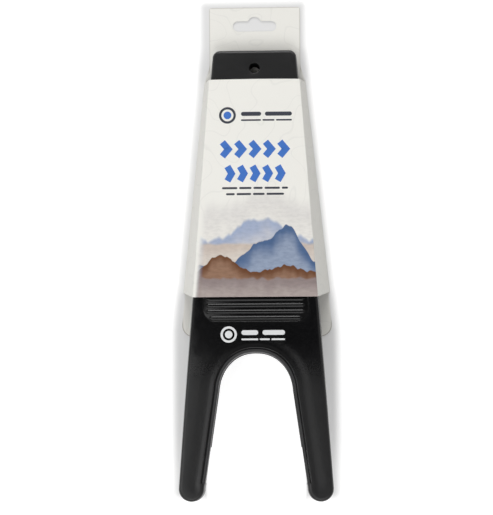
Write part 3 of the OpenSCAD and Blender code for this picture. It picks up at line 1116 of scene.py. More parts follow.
    def openings(self) -> list[Piece]:
        """Cutters of the tread's recess, the hang hole and the space under its boss."""
        t = self.tread
        deep, wide = -self.edges.deep - self.over, self.hang_radius + self.boss_wall
        recess = flared_prism(lambda grow: t.outline(self.plan, t.gap + grow), -t.thickness - t.gap,
                              self.tread_lip, 2 * self.over)
        hole = flared_prism(lambda grow: circle(0, -self.hang_s, self.hang_radius + grow, 72), deep,
                            self.lip, 1.5 * self.over)
        under = lathe([(0, deep), (wide, deep), (wide, -self.hang_boss), (0, -self.hang_boss)], 72)
        under.transform(Matrix.Translation((0, -self.hang_s, 0)))
        meshes = (("tread_recess", recess), ("hang_hole", hole), ("under_boss", under))
        return [add_object(name, mesh) for name, mesh in meshes]

    def build(self) -> Piece:
        """Cut the body to its final shape."""
        body = self.shell()
        cut(body, [self.cells(), *self.openings()])
        body.data.transform(self.plan.placing)
        cut(body, [self.side_view()], "INTERSECT")
        low, high, radius = -1 * MM, self.edges.belly + self.socket_height, self.stem_radius
        for x, y in self.foot_places():
            socket = lathe([(0, low), (radius, low), (radius, high), (0, high)])
            socket.transform(Matrix.Translation((x, y, 0)))
            cut(body, [add_object("socket", socket)])
        smooth_below(body.data, 28)
        body.name = "moulded_body"
        return body

    def dress(self, body: Piece) -> None:
        """Finish the body, with painted shade on the wall of its hang hole, and let it stand for its CAD
        node.
        """
        dress(body, MouldedPlastic(self.plan).make("black_moulding"), Slot.BODY, Body.JACK)
        body.data.materials.append(self.bore_shade_look())
        back = self.plan.placing.inverted()
        for face in body.data.polygons:
            place = back @ face.center
            away = math.hypot(place.x, place.y + self.hang_s)
            # Faces of the bore get the painted shade material.
            if away < self.hang_radius + self.lip - self.tiny and place.z < -self.bore_start:
                face.material_index = 1
        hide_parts("jack_body")

    def bore_shade_look(self) -> Material:
        """Painted shade: a darker, duller black on the hang hole's wall, standing in for the hole's deep
        shadow.
        """
        n = MaterialTree("painted_shade_bore")
        return n.coat(n.mix(n.noise(n.place(), self.bore_grain), *self.bore_shade_colours), 0.9, 0.1)


def nearest(points: np.ndarray, others: np.ndarray) -> np.ndarray:
    """Distance from each point to the nearest of the others."""
    made = np.empty(len(points))
    for i in range(0, len(points), 2000):
        gap = points[i:i + 2000, None, :] - others[None, :, :]
        made[i:i + 2000] = np.sqrt((gap ** 2).sum(2)).min(1)
    return made


def inside(points: np.ndarray, outline: np.ndarray) -> np.ndarray:
    """Whether each point lies inside a closed outline."""
    x, y = points[:, 0][:, None], points[:, 1][:, None]
    ax, ay = outline[:, 0][None], outline[:, 1][None]
    bx, by = np.roll(outline[:, 0], -1)[None], np.roll(outline[:, 1], -1)[None]
    crosses = (ay > y) != (by > y)
    rise = np.where(by == ay, 1e-12, by - ay)
    return (crosses & (x < (bx - ax) * (y - ay) / rise + ax)).sum(1) % 2 == 1


class GeometryTree(Tree):
    """Geometry Nodes tree of a shape made flat on the jack's top face."""

    def __init__(self, name: str) -> None:
        """Start a tree with a geometry input and output."""
        super().__init__(bpy.data.node_groups.new(name, "GeometryNodeTree"))
        for way in ("INPUT", "OUTPUT"):
            self.tree.interface.new_socket("Geometry", in_out=way, socket_type="NodeSocketGeometry")
        self.inputs = self.add("NodeGroupInput")
        self.outputs = self.add("NodeGroupOutput")
        self.named: dict[str, str] = {}

    def size(self, name: str, kind: str = "Float") -> Socket:
        """Add a named input and return its socket inside the tree."""
        item = self.tree.interface.new_socket(name, in_out="INPUT", socket_type=f"NodeSocket{kind}")
        self.named[name] = item.identifier
        return next(s for s in self.inputs.outputs if s.identifier == item.identifier)

    def sweep(self, path: Socket, section: Socket, corner: Socket, steps: int, sized: bool) -> Socket:
        """Sweep a section along a path that lies flat.

        Args:
            path: The path's curve.
            section: The section's curve.
            corner: Radius of the section's round corners.
            steps: Number of steps of each round corner.
            sized: Whether the section is scaled with the path's radius.

        Returns:
            The smooth, closed sweep.
        """
        upright = self.add("GeometryNodeSetCurveNormal", {"Curve": path})
        if hasattr(upright, "mode"):
            upright.mode = "Z_UP"
        round_ = self.add("GeometryNodeFilletCurve", {"Curve": section, "Radius": corner})
        if "Count" in round_.inputs:
            round_.inputs["Count"].default_value = steps
        if hasattr(round_, "mode"):
            round_.mode = "POLY"
        swept = self.add("GeometryNodeCurveToMesh", {"Curve": upright.outputs[0],
                                                     "Profile Curve": round_.outputs[0], "Fill Caps": True})
        if sized and "Scale" in swept.inputs:
            self.feed(swept.inputs["Scale"], self.add("GeometryNodeInputRadius").outputs[0])
        return self.add("GeometryNodeSetShadeSmooth", {"Geometry": swept.outputs[0],
                                                       "Shade Smooth": True}).outputs[0]

    def finish(self, geometry: Socket) -> None:
        """Turn the shape onto the top face, and end in Realize Instances and Set Material."""
        slope, lift = self.size("Slope"), self.size("Place", "Vector")
        turn = self.add("ShaderNodeCombineXYZ", {"X": slope})
        placed = self.add("GeometryNodeTransform", {"Geometry": geometry, "Translation": lift,
                                                    "Rotation": turn.outputs[0]})
        real = self.add("GeometryNodeRealizeInstances", {"Geometry": placed.outputs[0]})
        dressed = self.add("GeometryNodeSetMaterial", {"Geometry": real.outputs[0],
                                                       "Material": self.size("Material", "Material")})
        self.tree.links.new(dressed.outputs[0], self.outputs.inputs[0])

    def apply(self, obj: Piece, plan: JackPlan, material: Material, sizes: dict[str, float]) -> None:
        """Run the tree on an object.

        Args:
            obj: The object, which keeps the result as a plain mesh.
            plan: Plan of the jack, for the place of its top face.
            material: Material of the shape.
            sizes: The tree's own sizes by name.
        """
        step = obj.modifiers.new("made", "NODES")
        step.node_group = self.tree
        place = {"Slope": -plan.slope, "Place": (0, plan.heel_y, plan.heel_top), "Material": material}
        for name, value in {**sizes, **place}.items():
            step[self.named[name]] = value
        bake_modifiers(obj)
        turn_outwards(obj.data)
        smooth_below(obj.data, 40)


@dataclass
class NotchLiner:
    """The rubber strip round the notch, a rounded section swept along its path."""

    plan: JackPlan
    sizes: LinerSizes = field(default_factory=LinerSizes)
    rubber: Rubber = Rubber((0.020, 0.020, 0.021), 0.5)

    def path(self) -> list[Point3]:
        """Middle line of the strip, flat on the top face."""
        mouth = self.plan.tip_start - self.sizes.bare_end
        right = self.plan.notch_edge(mouth, 40, 64)
        whole = np.array(right + [(-x, y) for x, y in reversed(right[:-1])])
        along = np.gradient(whole, axis=0)
        along /= np.linalg.norm(along, axis=1)[:, None]
        out = np.stack([along[:, 1], -along[:, 0]], 1)
        middle = whole + out * self.sizes.width / 2
        level = -self.sizes.drop - self.sizes.height / 2
        return [(x, y, level) for x, y in middle]

    def tree(self) -> GeometryTree:
        """Sweep of a rounded rectangle along the path."""
        t = GeometryTree("liner_sweep")
        curve = t.add("GeometryNodeMeshToCurve", {"Mesh": t.inputs.outputs["Geometry"]})
        section = t.add("GeometryNodeCurvePrimitiveQuadrilateral",
                        {key: t.size(key) for key in ("Width", "Height")})
        t.finish(t.sweep(curve.outputs[0], section.outputs[0], t.size("Corner"), 5, False))
        return t

    def build(self) -> Piece:
        """Sweep the strip in its place."""
        path = self.path()
        strip = add_object("notch_strip", raw_mesh(path, [], [(i, i + 1) for i in range(len(path) - 1)]))
        z = self.sizes
        self.look = self.rubber.make("liner_rubber_look")
        self.tree().apply(strip, self.plan, self.look,
                          {"Width": z.width, "Height": z.height, "Corner": z.corner})
        return strip

    def dress(self, strip: Piece) -> None:
        """Finish the strip and let it stand for its CAD node."""
        dress(strip, self.look, Slot.LINER, Body.JACK)
        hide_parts("notch_liner")


@dataclass
class Tread:
    """The ridged tread: a thin plate with a row of rounded ridges."""

    plan: JackPlan
    sizes: TreadSizes = field(default_factory=TreadSizes)
    rubber: Rubber = Rubber((0.0016, 0.0016, 0.0018), 0.17, 0.2, 0.3, depth=0.002 * MM)
    rim: float = 0.3 * MM
    ridge_inset: float = 0.6 * MM
    corner_share: float = 0.15
    end_inset: float = 0.35
    end_least: float = 0.02

    def plate(self) -> Mesh:
        """Plate with a rounded upper rim, on the top face."""
        rings = [[(x, y, -self.sizes.thickness) for x, y in self.sizes.outline(self.plan)]]
        for a in arc(4):
            grow, drop = -self.rim * (1 - math.cos(a)), -self.rim * (1 - math.sin(a))
            rings.append([(x, y, drop) for x, y in self.sizes.outline(self.plan, grow)])
        return loft_mesh(rings)

    def half_length(self, t: GeometryTree, s: Socket, foot: Socket) -> Socket:
        """Half length of a ridge, so that it ends inside the plate's round corners.

        Args:
            t: The ridges' tree.
            s: Distance of the ridge from the plate's end nearest the heel.
            foot: Width of the ridge.

        Returns:
            The half length as a node's output.
        """
        near, far = t.size("Near Half Width"), t.size("Far Half Width")
        length, corner = t.size("Length"), t.size("Corner")
        widening = t.math("MULTIPLY", t.math("SUBTRACT", far, near), t.math("DIVIDE", s, length))
        straight = t.math("ADD", near, widening)
        end = t.math("MINIMUM", s, t.math("SUBTRACT", length, s))
        into = t.math("SUBTRACT", corner, t.math("MINIMUM", end, corner))
        squares = [t.math("MULTIPLY", v, v) for v in (corner, into)]
        inset = t.math("SUBTRACT", corner, t.math("SQRT", t.math("SUBTRACT", *squares)))
        return t.math("SUBTRACT", straight, inset, t.math("MULTIPLY", foot, self.end_inset))

    def end_radius(self, t: GeometryTree, foot: Socket) -> Socket:
        """Share of the full section along a ridge, which rounds off its ends."""
        along = t.add("GeometryNodeSplineParameter").outputs["Length"]
        total = t.add("GeometryNodeSplineLength").outputs["Length"]
        from_end = t.math("MINIMUM", along, t.math("SUBTRACT", total, along))
        ease = t.math("MINIMUM", t.math("DIVIDE", from_end, t.math("MULTIPLY", foot, 0.5)), 1.0)
        out = t.math("SUBTRACT", 1.0, ease)
        left = t.math("SUBTRACT", 1.0, t.math("MULTIPLY", out, out))
        return t.math("SQRT", t.math("MAXIMUM", left, self.end_least))

    def tree(self) -> GeometryTree:
        """Ridges of a rounded trapezoid section, as long as the plate is wide at each place."""
        t = GeometryTree("tread_ridges")
        count, pitch = t.size("Count", "Int"), t.size("Pitch")
        first, foot, crest, height = (t.size(key) for key in ("First", "Foot", "Crest", "Height"))
        index = t.add("GeometryNodeInputIndex").outputs[0]
        s = t.math("ADD", t.math("MULTIPLY", index, pitch), t.math("MULTIPLY", pitch, 0.5))
        step = t.add("ShaderNodeCombineXYZ", {"Y": t.math("MULTIPLY", pitch, -1.0)})
        before = t.math("SUBTRACT", t.math("MULTIPLY", pitch, -0.5), first)
        start = t.add("ShaderNodeCombineXYZ", {"Y": before})
        points = t.add("GeometryNodeMeshLine", {"Count": count, "Start Location": start.outputs[0],
                                                "Offset": step.outputs[0]}, mode="OFFSET")
        line = t.add("GeometryNodeCurvePrimitiveLine", {"Start": (-1, 0, 0), "End": (1, 0, 0)})
        size = t.add("ShaderNodeCombineXYZ", {"X": self.half_length(t, s, foot), "Y": 1.0, "Z": 1.0})
        bars = t.add("GeometryNodeInstanceOnPoints",
                     {"Points": points.outputs[0], "Instance": line.outputs[0], "Scale": size.outputs[0]})
        real = t.add("GeometryNodeRealizeInstances", {"Geometry": bars.outputs[0]})
        fine = t.add("GeometryNodeResampleCurve", {"Curve": real.outputs[0], "Count": 60})
        path = t.add("GeometryNodeSetCurveRadius",
                     {"Curve": fine.outputs[0], "Radius": self.end_radius(t, foot)})
        section = t.add("GeometryNodeCurvePrimitiveQuadrilateral",
                        {"Height": t.math("MULTIPLY", height, 2.0), "Bottom Width": crest,
                         "Top Width": t.math("SUBTRACT", t.math("MULTIPLY", foot, 2.0), crest),
                         "Offset": 0.0}, mode="TRAPEZOID")
        corner = t.math("MULTIPLY", height, self.corner_share)
        ridges = t.sweep(path.outputs[0], section.outputs[0], corner, 4, True)
        both = t.add("GeometryNodeJoinGeometry")
        for shape in (ridges, t.inputs.outputs["Geometry"]):
            t.tree.links.new(shape, both.inputs[0])
        t.finish(both.outputs[0])
        return t

    def build(self) -> Piece:
        """Make the plate and its ridges."""
        pad = add_object("ridged_tread", self.plate())
        z = self.sizes
        near, far = (self.plan.half_width(s) - z.margin - self.ridge_inset for s in (z.start, z.end))
        self.look = self.rubber.make("tread_rubber_look")
        self.tree().apply(pad, self.plan, self.look, {
            "Count": z.ridges, "Pitch": z.pitch, "First": z.start, "Near Half Width": near,
            "Far Half Width": far, "Length": z.end - z.start, "Corner": z.corner, "Foot": z.foot,
            "Crest": z.crest, "Height": z.height})
        return pad

    def dress(self, pad: Piece) -> None:
        """Finish the tread and let it stand for its CAD node."""
        dress(pad, self.look, Slot.TREAD, Body.JACK)
        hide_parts("tread_pad")


@dataclass
class Feet:
    """Four turned rubber feet with grooved soles."""

    places: list[Point2]
    rubber: Rubber = Rubber((0.012, 0.012, 0.012), 0.6)
    names: tuple[str, ...] = ("heel_foot_left", "heel_foot_right", "leg_foot_left", "leg_foot_right")
    ground: float = 0.6 * MM
    height: float = 1.6 * MM
    radius: float = 5.5 * MM
    stem: float = 2.5 * MM
    stem_height: float = 6 * MM
    stem_chamfer: float = 0.5 * MM
    edge: float = 0.2 * MM
    grooves: tuple[float, ...] = (1.6 * MM, 3.2 * MM)
    groove_depth: float = 0.35 * MM
    groove_half: float = 0.3 * MM
    groove_floor: float = 0.1 * MM

    def build(self) -> list[Piece]:
        """Turn the feet in their places."""
        low, high, bevel = self.ground, self.ground + self.height, self.height / 3
        deep, top = low + self.groove_depth, high + self.stem_height
        profile = [(0, low)]
        for radius in self.grooves:
            profile += [(radius - self.groove_half, low), (radius - self.groove_floor, deep),
                        (radius + self.groove_floor, deep), (radius + self.groove_half, low)]
        profile += [(self.radius - bevel, low), (self.radius - bevel * 0.3, low + bevel * 0.3),
                    (self.radius, low + bevel), (self.radius, high - self.edge),
                    (self.radius - self.edge, high), (self.stem, high), (self.stem, top - self.stem_chamfer),
                    (self.stem - self.stem_chamfer, top), (0, top)]
        made = []
        for (x, y), name in zip(self.places, self.names):
            mesh = lathe(profile)
            mesh.transform(Matrix.Translation((x, y, 0)))
            smooth_below(mesh, 35)
            made.append(add_object(f"{name}_turned", mesh))
        return made

    def dress(self, feet: list[Piece]) -> None:
        """Finish the feet and let each stand for its CAD node."""
        look = self.rubber.make("foot_rubber_look")
        for foot, name in zip(feet, self.names):
            dress(foot, look, Slot.FOOT, Body.JACK)
            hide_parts(name)


# Sleeve


@dataclass
class Sleeve:
    """The folded card sleeve: wrap, back card and glued flap."""

    plan: JackPlan
    sizes: SleeveSizes = field(default_factory=SleeveSizes)
    stations: int = 60
    across: int = 36
    side_steps: int = 9
    crease_steps: int = 6
    fold_gap: float = 0.02 * MM
    fold_before: float = 0.5 * MM
    fold_after: float = 2.3 * MM
    crease_print: float = 0.8
    arc_share: float = 1 / 12

    @property
    def fold_start(self) -> float:
        """Y where the side panels' folds start, at the narrow end."""
        return self.plan.at(0, self.sizes.start, self.sizes.gap).y - self.fold_before

    @property
    def fold_end(self) -> float:
        """Y where the side panels' folds end, at the wide end."""
        return self.plan.at(0, self.sizes.end, self.sizes.gap).y + self.fold_after

    def fold_x(self, y: float) -> float:
        """X of the right-hand fold at y."""
        z, start = self.sizes, self.fold_start
        return (z.narrow + (z.wide - z.narrow) * (start - y) / (start - self.fold_end)) / 2

    def crease(self, s: float) -> Vector:
        """Point of the right-hand crease at s, before its corner is rounded."""
        z = self.sizes
        top = self.plan.at(0, s, z.gap + z.card)
        return Vector((self.fold_x(top.y) - (top.z - z.card) * math.tan(z.lean), top.y, top.z))

    def front_point(self, x: float, s: float) -> Vector:
        """Point of the front panel's outer face at x and s."""
        z = self.sizes
        share = min(1.0, abs(x) / (self.crease(s).x - z.crease))
        return self.plan.at(x, s, z.gap + z.card + z.crown * (1 - share ** 2) ** 2)

    def section(self, t: float) -> tuple[list[Vector], list[float]]:
        """Outer points of the wrap from the right-hand fold to the left-hand one.

        Args:
            t: Share of the wrap's length, 0 at the narrow end.

        Returns:
            The points, and for each its printed distance from the middle line.
        """
        z, plan = self.sizes, self.plan
        fold_y = self.fold_start + (self.fold_end - self.fold_start) * t
        fold = Vector((self.fold_x(fold_y), fold_y, z.card + self.fold_gap))
        crease = self.crease(z.start + (z.end - z.start) * t)
        up, left = (crease - fold).normalized(), Vector((-1, 0, 0))
        reach = z.crease * math.tan(up.angle(left) / 2)
        side_length = (crease - fold).length
        start, stop = crease - up * reach, crease + left * reach
        points, printed = [], []
        for i in range(self.side_steps):
            share = i / self.side_steps
            points.append(fold + (start - fold) * share)
            printed.append(crease.x + (side_length - reach) * (1 - share))
        for i in range(self.crease_steps + 1):
            k = i / self.crease_steps
            points.append(start.lerp(crease, k).lerp(crease.lerp(stop, k), k))
            printed.append(crease.x + reach * (1 - 2 * k) * self.crease_print)
        normal = Vector((0, math.sin(plan.slope), math.cos(plan.slope)))
        half = self.across // 2
        for i in range(1, half + 1):
            share = 1 - i / half
            x = stop.x * share
            lift = z.crown * (1 - share ** 2) ** 2
            cut_back = z.cut_arc * (1 - share ** 2) * max(0.0, 1 - t / self.arc_share)
            points.append(Vector((x, crease.y + cut_back, crease.z)) + normal * lift)
            printed.append(x)
        mirrored = [Vector((-p.x, p.y, p.z)) for p in reversed(points[:-1])]
        return points + mirrored, printed + [-u for u in reversed(printed[:-1])]

    def wrap(self) -> Piece:
        """Front and side panels as one folded sheet."""
        verts, uvs, faces = [], [], []
        for k in range(self.stations + 1):
            t = k / self.stations
            points, printed = self.section(t)
            width = len(points)
            verts += points
            uvs += [(u, t * (self.sizes.end - self.sizes.start) + self.sizes.start) for u in printed]
        for k in range(self.stations):
            for i in range(width - 1):
                a = k * width + i
                faces.append((a, a + 1, a + 1 + width, a + width))
        mesh = raw_mesh(verts, faces)
        layer = mesh.uv_layers.new(name="print")
        for loop in mesh.loops:
            layer.data[loop.index].uv = uvs[loop.vertex_index]
        obj = add_object("card_wrap", mesh)
        if mesh.polygons[0].normal.x < 0:
            mesh.flip_normals()
        thicken(obj, self.sizes.card, -1, even=True)
        smooth_below(obj.data, 40)
        return obj

    def build(self) -> list[Piece]:
        """Fold the sleeve; back card and flap are the frame's own."""
        return [self.wrap(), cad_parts["back_card"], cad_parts["glue_flap"]]

    def dress(self, parts: list[Piece]) -> None:
        """Finish the sleeve's parts."""
        wrap, back, flap = parts
        board = Board().make("contour_board")
        dress(wrap, PrintedBoard().make("printed_board"), Slot.CARD, Body.SLEEVE)
        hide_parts("front_panel", "side_panel_left", "side_panel_right")
        corners = np.array([tuple(c) for c in back.bound_box])
        (_, end, _), (half, header_end, _) = corners.min(0).tolist(), corners.max(0).tolist()
        tongue = TongueBoard(half=half, end=end, corner=self.sizes.tongue_radius,
                             header_half=self.sizes.header_width / 2, header_end=header_end)
        for part, look in ((back, tongue.make("tongue_board")), (flap, board)):
            part.data.materials.clear()
            part.data.materials.append(look)


class Stamp:
    """Flat shapes of ink laid on a surface, as thin closed pieces."""

    grain: float = 1.5 * MM
    hole: float = 0.05 * MM
    blunt: float = 0.003
    sharpest: float = 0.35
    thickness: float = 1.6
    sunk: float = 0.35

    def __init__(self, surface: Callable[[float, float], Vector], lift: float = 0.035 * MM) -> None:
        """Start with a surface given by (x, s) and the height of the ink above it."""
        self.surface = surface
        self.lift = lift
        self.points: list[Vector] = []
        self.faces: list[Face] = []

    def strip(self, left: Sequence[Point2], right: Sequence[Point2]) -> None:
        """Add a strip between two lines of (x, s) points of equal length."""
        start = len(self.points)
        for a, b in zip(left, right):
            self.points += [self.surface(*a), self.surface(*b)]
        for k in range(start, start + 2 * len(left) - 2, 2):
            self.faces.append((k, k + 1, k + 3, k + 2))

    def stroke(self, path: Sequence[Point2], width: float, step: float = 1.2 * MM) -> None:
        """Add a line of a given width with mitred corners and flat ends."""
        fine: list[Vector] = []
        for a, b in zip(path, path[1:]):
            va, vb = Vector(a), Vector(b)
            count = max(1, round((vb - va).length / step))
            fine += [va.lerp(vb, i / count) for i in range(count)]
        fine.append(Vector(path[-1]))
        left, right = [], []
        none = Vector((0, 0))
        for i, p in enumerate(fine):
            ahead = (fine[i + 1] - p).normalized() if i < len(fine) - 1 else none
            behind = (p - fine[i - 1]).normalized() if i else none
            along = (ahead + behind).normalized()
            side = Vector((-along.y, along.x))
            straight = ahead if ahead.length else behind
            stretch = 1 / max(self.sharpest, abs(side.dot(Vector((-straight.y, straight.x)))))
            left.append(tuple(p + side * width / 2 * stretch))
            right.append(tuple(p - side * width / 2 * stretch))
        self.strip(left, right)

    def bar(self, x0: float, x1: float, s: float, height: float) -> None:
        """Add a bar with round ends from x0 to x1."""
        radius = height / 2
        straight = x1 - x0 - height
        ends = [radius * (1 - math.cos(a)) for a in arc(6)]
        count = max(1, round(straight / self.grain))
        xs = [x0 + end for end in ends]
        xs += [x0 + radius + straight * i / count for i in range(1, count)]
        xs += [x1 - end for end in reversed(ends)]
        least = self.blunt * radius * radius
        outside = [max(0, x0 + radius - x, x - x1 + radius) for x in xs]
        rise = [math.sqrt(max(least, radius ** 2 - far ** 2)) for far in outside]
        self.strip([(x, s - r) for x, r in zip(xs, rise)], [(x, s + r) for x, r in zip(xs, rise)])

    def ring(self, x: float, s: float, inner: float, outer: float) -> None:
        """Add a ring, or a disc where inner is 0."""
        inner = max(inner, self.hole)
        steps = max(1, round((outer - inner) / self.grain))
        radii = [inner + (outer - inner) * k / steps for k in range(steps + 1)]
        lines = [[(x + r * math.cos(t), s + r * math.sin(t)) for t in arc(48, math.tau)] for r in radii]
        for near, far in zip(lines, lines[1:]):
            self.strip(near, far)

    def chevron(self, x: float, s: float, wide: float, high: float, line: float) -> None:
        """Add a bold chevron that points along +X."""
        near, far = x + line / 2, x + wide - line / 2
        self.stroke([(near, s - high / 2), (far, s), (near, s + high / 2)], line)

    def words(self, x0: float, x1: float, s: float, height: float, shares: Sequence[float]) -> None:
        """Add a rule broken into bars, in the given shares of its length."""
        gap = height * 0.9
        room = x1 - x0 - gap * (len(shares) - 1)
        for share in shares:
            wide = room * share / sum(shares)
            self.bar(x0, x0 + wide, s, height)
            x0 += wide + gap

    def piece(self, name: str) -> Piece:
        """Make the thin closed piece."""
        mesh = raw_mesh(self.points, self.faces)
        bm = bmesh.new()
        bm.from_mesh(mesh)
        bmesh.ops.remove_doubles(bm, verts=bm.verts, dist=1e-6)
        for face in bm.faces:
            face.normal_update()
            if face.normal.z < 0:
                face.normal_flip()
        bm.to_mesh(mesh)
        bm.free()
        obj = add_object(name, mesh)
        thicken(obj, self.lift * self.thickness, 1 - 2 * self.sunk)
        return obj


@dataclass
class Prints:
    """Generic printing on the card and on the jack: rings, rules and chevrons, with their places in mm."""

    plan: JackPlan
    sleeve: Sleeve
    chevrons: int = 5
    chevron_gap: float = 1.2
    chevron_line: float = 4.8
    chevron_height: float = 0.78
    rows: tuple[tuple[Span, Span], ...] = (((-25.7, 26.1), (67.4, 80.8)), ((-22.1, 23.1), (85.2, 98.8)))
    card_ring: Point3 = (-19.6, 49.1, 6.1)
    jack_ring: Point3 = (-19, 207.7, 5.8)
    ring_inner: float = 0.72
    ring_core: float = 0.46
    card_rules: tuple[tuple[float, float, float, float, tuple[int, ...]], ...] = (
        (-9.8, 27, 48.2, 3.0, (3, 4)), (-9.8, 27, 52.8, 1.2, (5, 3, 4)),
        (-23.6, 23.8, 102.6, 1.5, (5, 4, 3, 5, 2)), (-20.7, 20.9, 107.0, 1.5, (3, 5, 4, 6)))
    jack_rules: tuple[tuple[float, float, float, float, tuple[int, ...]], ...] = (
        (-10, 20.9, 206.4, 3.4, (3, 4)), (-10, 20.9, 211.2, 1.2, (5, 3, 4)))
    jack_lift: float = 0.012 * MM
    blue: Colour = (0.045, 0.165, 0.55)
    dark: Colour = (0.035, 0.04, 0.055)
    white: Colour = (0.72, 0.73, 0.74)

    def on_jack(self, x: float, s: float) -> Vector:
        """Point just above the jack's top face at x and s."""
        return self.plan.at(x, s, self.jack_lift)

    def mark(self, stamp: Stamp, edge_shadow_core: Stamp, ring: Point3, rules: Sequence[tuple]) -> None:
        """Add a ring with a plain disc, and its rules."""
        x, s, radius = (v * MM for v in ring)
        stamp.ring(x, s, radius * self.ring_inner, radius)
        edge_shadow_core.ring(x, s, 0, radius * self.ring_core)
        for *places, shares in rules:
            stamp.words(*[v * MM for v in places], shares)

    def build(self) -> list[Piece]:
        """Lay the inks."""
        front = self.sleeve.front_point
        blue, dark, white = Stamp(front), Stamp(front), Stamp(self.on_jack)
        self.mark(dark, blue, self.card_ring, self.card_rules)
        self.mark(white, white, self.jack_ring, self.jack_rules)
        for (x0, x1), (s0, s1) in self.rows:
            pitch = (x1 - x0) / self.chevrons
            for i in range(self.chevrons):
                blue.chevron((x0 + pitch * i) * MM, (s0 + s1) / 2 * MM, (pitch - self.chevron_gap) * MM,
                             (s1 - s0) * MM * self.chevron_height, self.chevron_line * MM)
        return [blue.piece("blue_print"), dark.piece("dark_print"), white.piece("white_pad_print")]

    def dress(self, inks: list[Piece]) -> None:
        """Colour the inks."""
        card, jack = (Slot.CARD, Body.SLEEVE), (Slot.BODY, Body.JACK)
        for ink, colour, home in zip(inks, (self.blue, self.dark, self.white), (card, card, jack)):
            dress(ink, Ink(colour).make(f"{ink.name}_ink"), *home)


# Studio


@dataclass(frozen=True)
class Lamp:
    """One soft box."""

    name: str
    place: Point3
    size: Span
    power: float
    aim: Point3 = (0.0, 0.0, 0.02)

    def add(self) -> None:
        """Put the lamp in the scene."""
        light = bpy.data.lights.new(self.name, "AREA")
        light.shape = "RECTANGLE"
        light.size, light.size_y = self.size
        light.energy = self.power
        obj = bpy.data.objects.new(self.name, light)
        obj.location = self.place
        sight = Vector(self.aim) - Vector(self.place)
        obj.rotation_euler = sight.to_track_quat("-Z", "X" if abs(sight.x) > abs(sight.y) else "Y").to_euler()
        bpy.context.scene.collection.objects.link(obj)


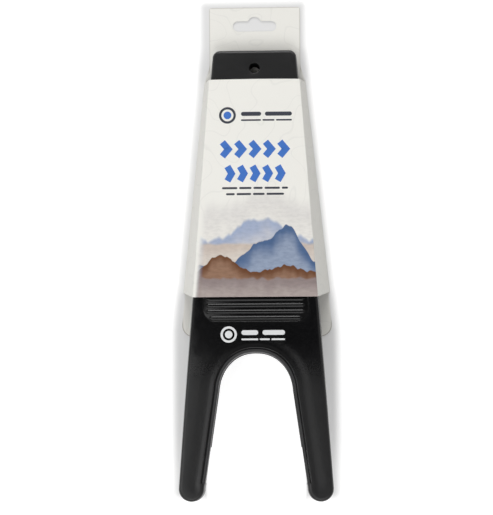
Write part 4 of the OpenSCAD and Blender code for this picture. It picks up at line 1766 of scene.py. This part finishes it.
@dataclass
class Studio:
    """Camera at the photograph's viewpoint, soft boxes, pale floor and white surroundings."""

    eye: Point3 = (0.02713, -0.00619, 0.99713)
    turn: Point3 = (0.000198, 0.03453, -0.00778)
    focal_pixels: float = 1351.3
    long_side: int = 515
    sensor: float = 36.0
    clip: Span = (0.05, 20.0)
    dome: float = 0.39
    dome_colour: Colour = (1.0, 0.995, 0.985)
    horizon: float = 0.01
    dark_x: Span = (0.0, 0.45)
    dark_y: Span = (0.18, 0.42)
    lamps: tuple[Lamp, ...] = (
        Lamp("left_strip", (-0.9, -0.1, 1.2), (1.7, 0.5), 6.4),
        Lamp("right_strip", (0.9, 0.0, 1.2), (1.7, 0.5), 0.6),
        Lamp("front_box", (0.0, -0.85, 1.2), (1.2, 0.7), 6.8),
        Lamp("back_box", (0.0, 1.5, 0.8), (1.0, 0.6), 12.8),
    )
    floor_half: float = 3.0
    floor_level: float = -0.3 * MM
    floor_colour: Colour = (0.62, 0.62, 0.62)
    floor_roughness: float = 0.9
    # Painted shadow and light on the floor: an outline round the object, set a little to the left, where the
    # glow is low, and a brighter patch in the notch.
    middle: float = -0.0012
    half_length: float = 0.1785
    half_widths: Span = (0.0560, 0.0345)
    narrows: Span = (-0.060, 0.150)
    glow: Span = (0.16, 0.64)
    shadow_band_reach: float = 0.009
    far: Span = (0.1, 0.8)
    notch_half: float = 0.040
    notch_end: float = -0.068
    notch_soft: float = 0.006
    notch_painted_light: float = 0.72

    def build(self) -> None:
        """Set up camera, lamps, world and floor."""
        scene = bpy.context.scene
        camera = bpy.data.cameras.new("view")
        camera.sensor_width = self.sensor
        camera.lens = self.focal_pixels * self.sensor / self.long_side
        camera.clip_start, camera.clip_end = self.clip
        obj = bpy.data.objects.new("view", camera)
        obj.location = self.eye
        obj.rotation_euler = self.turn
        scene.collection.objects.link(obj)
        scene.camera = obj
        scene.view_settings.view_transform = "Standard"
        for lamp in self.lamps:
            lamp.add()
        self.surroundings()
        self.floor()

    def surroundings(self) -> None:
        """World: white to the camera, otherwise a soft grey dome, dark overhead where the camera hangs."""
        world = bpy.data.worlds.new("white_room")
        bpy.context.scene.world = world
        world.use_nodes = True
        n = Tree(world.node_tree)
        x, y, z = n.split(n.add("ShaderNodeTexCoord").outputs["Generated"])
        height = n.math("MAXIMUM", z, self.horizon)
        across, along = (n.math("DIVIDE", v, height) for v in (x, y))
        dark = n.bell([(across, *self.dark_x), (along, *self.dark_y)])
        level = n.math("MULTIPLY", n.math("SUBTRACT", 1.0, dark), self.dome)
        fill = n.add("ShaderNodeBackground", {"Color": self.dome_colour, "Strength": level})
        shown = n.add("ShaderNodeBackground", {"Color": (1.0, 1.0, 1.0), "Strength": 1.0})
        ray = n.add("ShaderNodeLightPath").outputs["Is Camera Ray"]
        mix = n.add("ShaderNodeMixShader", {0: ray, 1: fill.outputs[0], 2: shown.outputs[0]})
        n.add("ShaderNodeOutputWorld", {"Surface": mix.outputs[0]})

    def painted_shade_glow(self, n: MaterialTree) -> Socket:
        """How brightly the floor glows: least in a band that follows the object's outline, a painted shadow,
        more away from it, and more in the notch, painted light that clears the shadow there.
        """
        across, along, _ = n.split(n.place())
        across = n.math("ABSOLUTE", n.math("SUBTRACT", across, self.middle))
        first, last = self.narrows
        share = n.math("DIVIDE", n.math("SUBTRACT", along, first), last - first)
        share = n.math("MINIMUM", n.math("MAXIMUM", share, 0.0), 1.0)
        wide, slim = self.half_widths
        half_width = n.math("SUBTRACT", wide, n.math("MULTIPLY", share, wide - slim))
        beside = n.math("MAXIMUM", n.math("SUBTRACT", across, half_width), 0.0)
        beyond = n.math("MAXIMUM", n.math("SUBTRACT", n.math("ABSOLUTE", along), self.half_length), 0.0)
        away = n.math("SQRT", n.math("ADD", *[n.math("POWER", v, 2.0) for v in (beside, beyond)]))
        between = [n.ramp(v, edge - self.notch_soft, edge, 1.0, 0.0)
                   for v, edge in ((across, self.notch_half), (along, self.notch_end))]
        # Painted shadow near the outline, painted light in the notch.
        level = n.math("MAXIMUM", n.ramp(away, 0.0, self.shadow_band_reach, *self.glow),
                       n.math("MULTIPLY", *between, self.notch_painted_light))
        return n.math("ADD", level, n.ramp(away, *self.far))

    def floor(self) -> None:
        """Pale floor that shows white where it is lit and keeps the object's shadow, with painted shadow in a
        glow band round the object and painted light in the notch.
        """
        half, low = self.floor_half, self.floor_level
        mesh = mesh_of([(-half, -half, low), (half, -half, low), (half, half, low), (-half, half, low)],
                       [(0, 1, 2, 3)])
        if mesh.polygons[0].normal.z < 0:
            mesh.flip_normals()
        obj = add_object("floor", mesh)
        n = MaterialTree("pale_floor")
        n.coat(self.floor_colour, self.floor_roughness, 0.0)
        ray = n.add("ShaderNodeLightPath").outputs
        seen = n.math("MAXIMUM", ray["Is Camera Ray"], ray["Is Glossy Ray"])
        n.feed(n.shader.inputs["Emission Color"], (1.0, 1.0, 1.0))
        n.feed(n.shader.inputs["Emission Strength"], n.math("MULTIPLY", seen, self.painted_shade_glow(n)))
        self.clear_from_below(n)
        mesh.materials.append(n.material)

    def clear_from_below(self, n: MaterialTree) -> None:
        """Let the floor be looked through from underneath."""
        below = n.add("ShaderNodeNewGeometry").outputs["Backfacing"]
        clear = n.add("ShaderNodeBsdfTransparent").outputs[0]
        mix = n.add("ShaderNodeMixShader", {0: below, 1: n.shader.outputs[0], 2: clear})
        n.feed(n.out.inputs["Surface"], mix.outputs[0])


def main() -> None:
    """Build every piece, dress it and set up the studio."""
    logging.basicConfig(level=logging.INFO, format="%(name)s: %(message)s")
    plan = JackPlan()
    Studio().build()
    body = JackBody(plan)
    sleeve = Sleeve(plan)
    for part in (body, NotchLiner(plan), Tread(plan), Feet(body.foot_places()), sleeve, Prints(plan, sleeve)):
        made = part.build()
        part.dress(made)
        for piece in made if isinstance(made, list) else [made]:
            LOG.info("%s: %s, %d faces", type(part).__name__, piece.name, len(piece.data.polygons))
    bpy.context.view_layer.update()


if __name__ == "__main__":
    main()
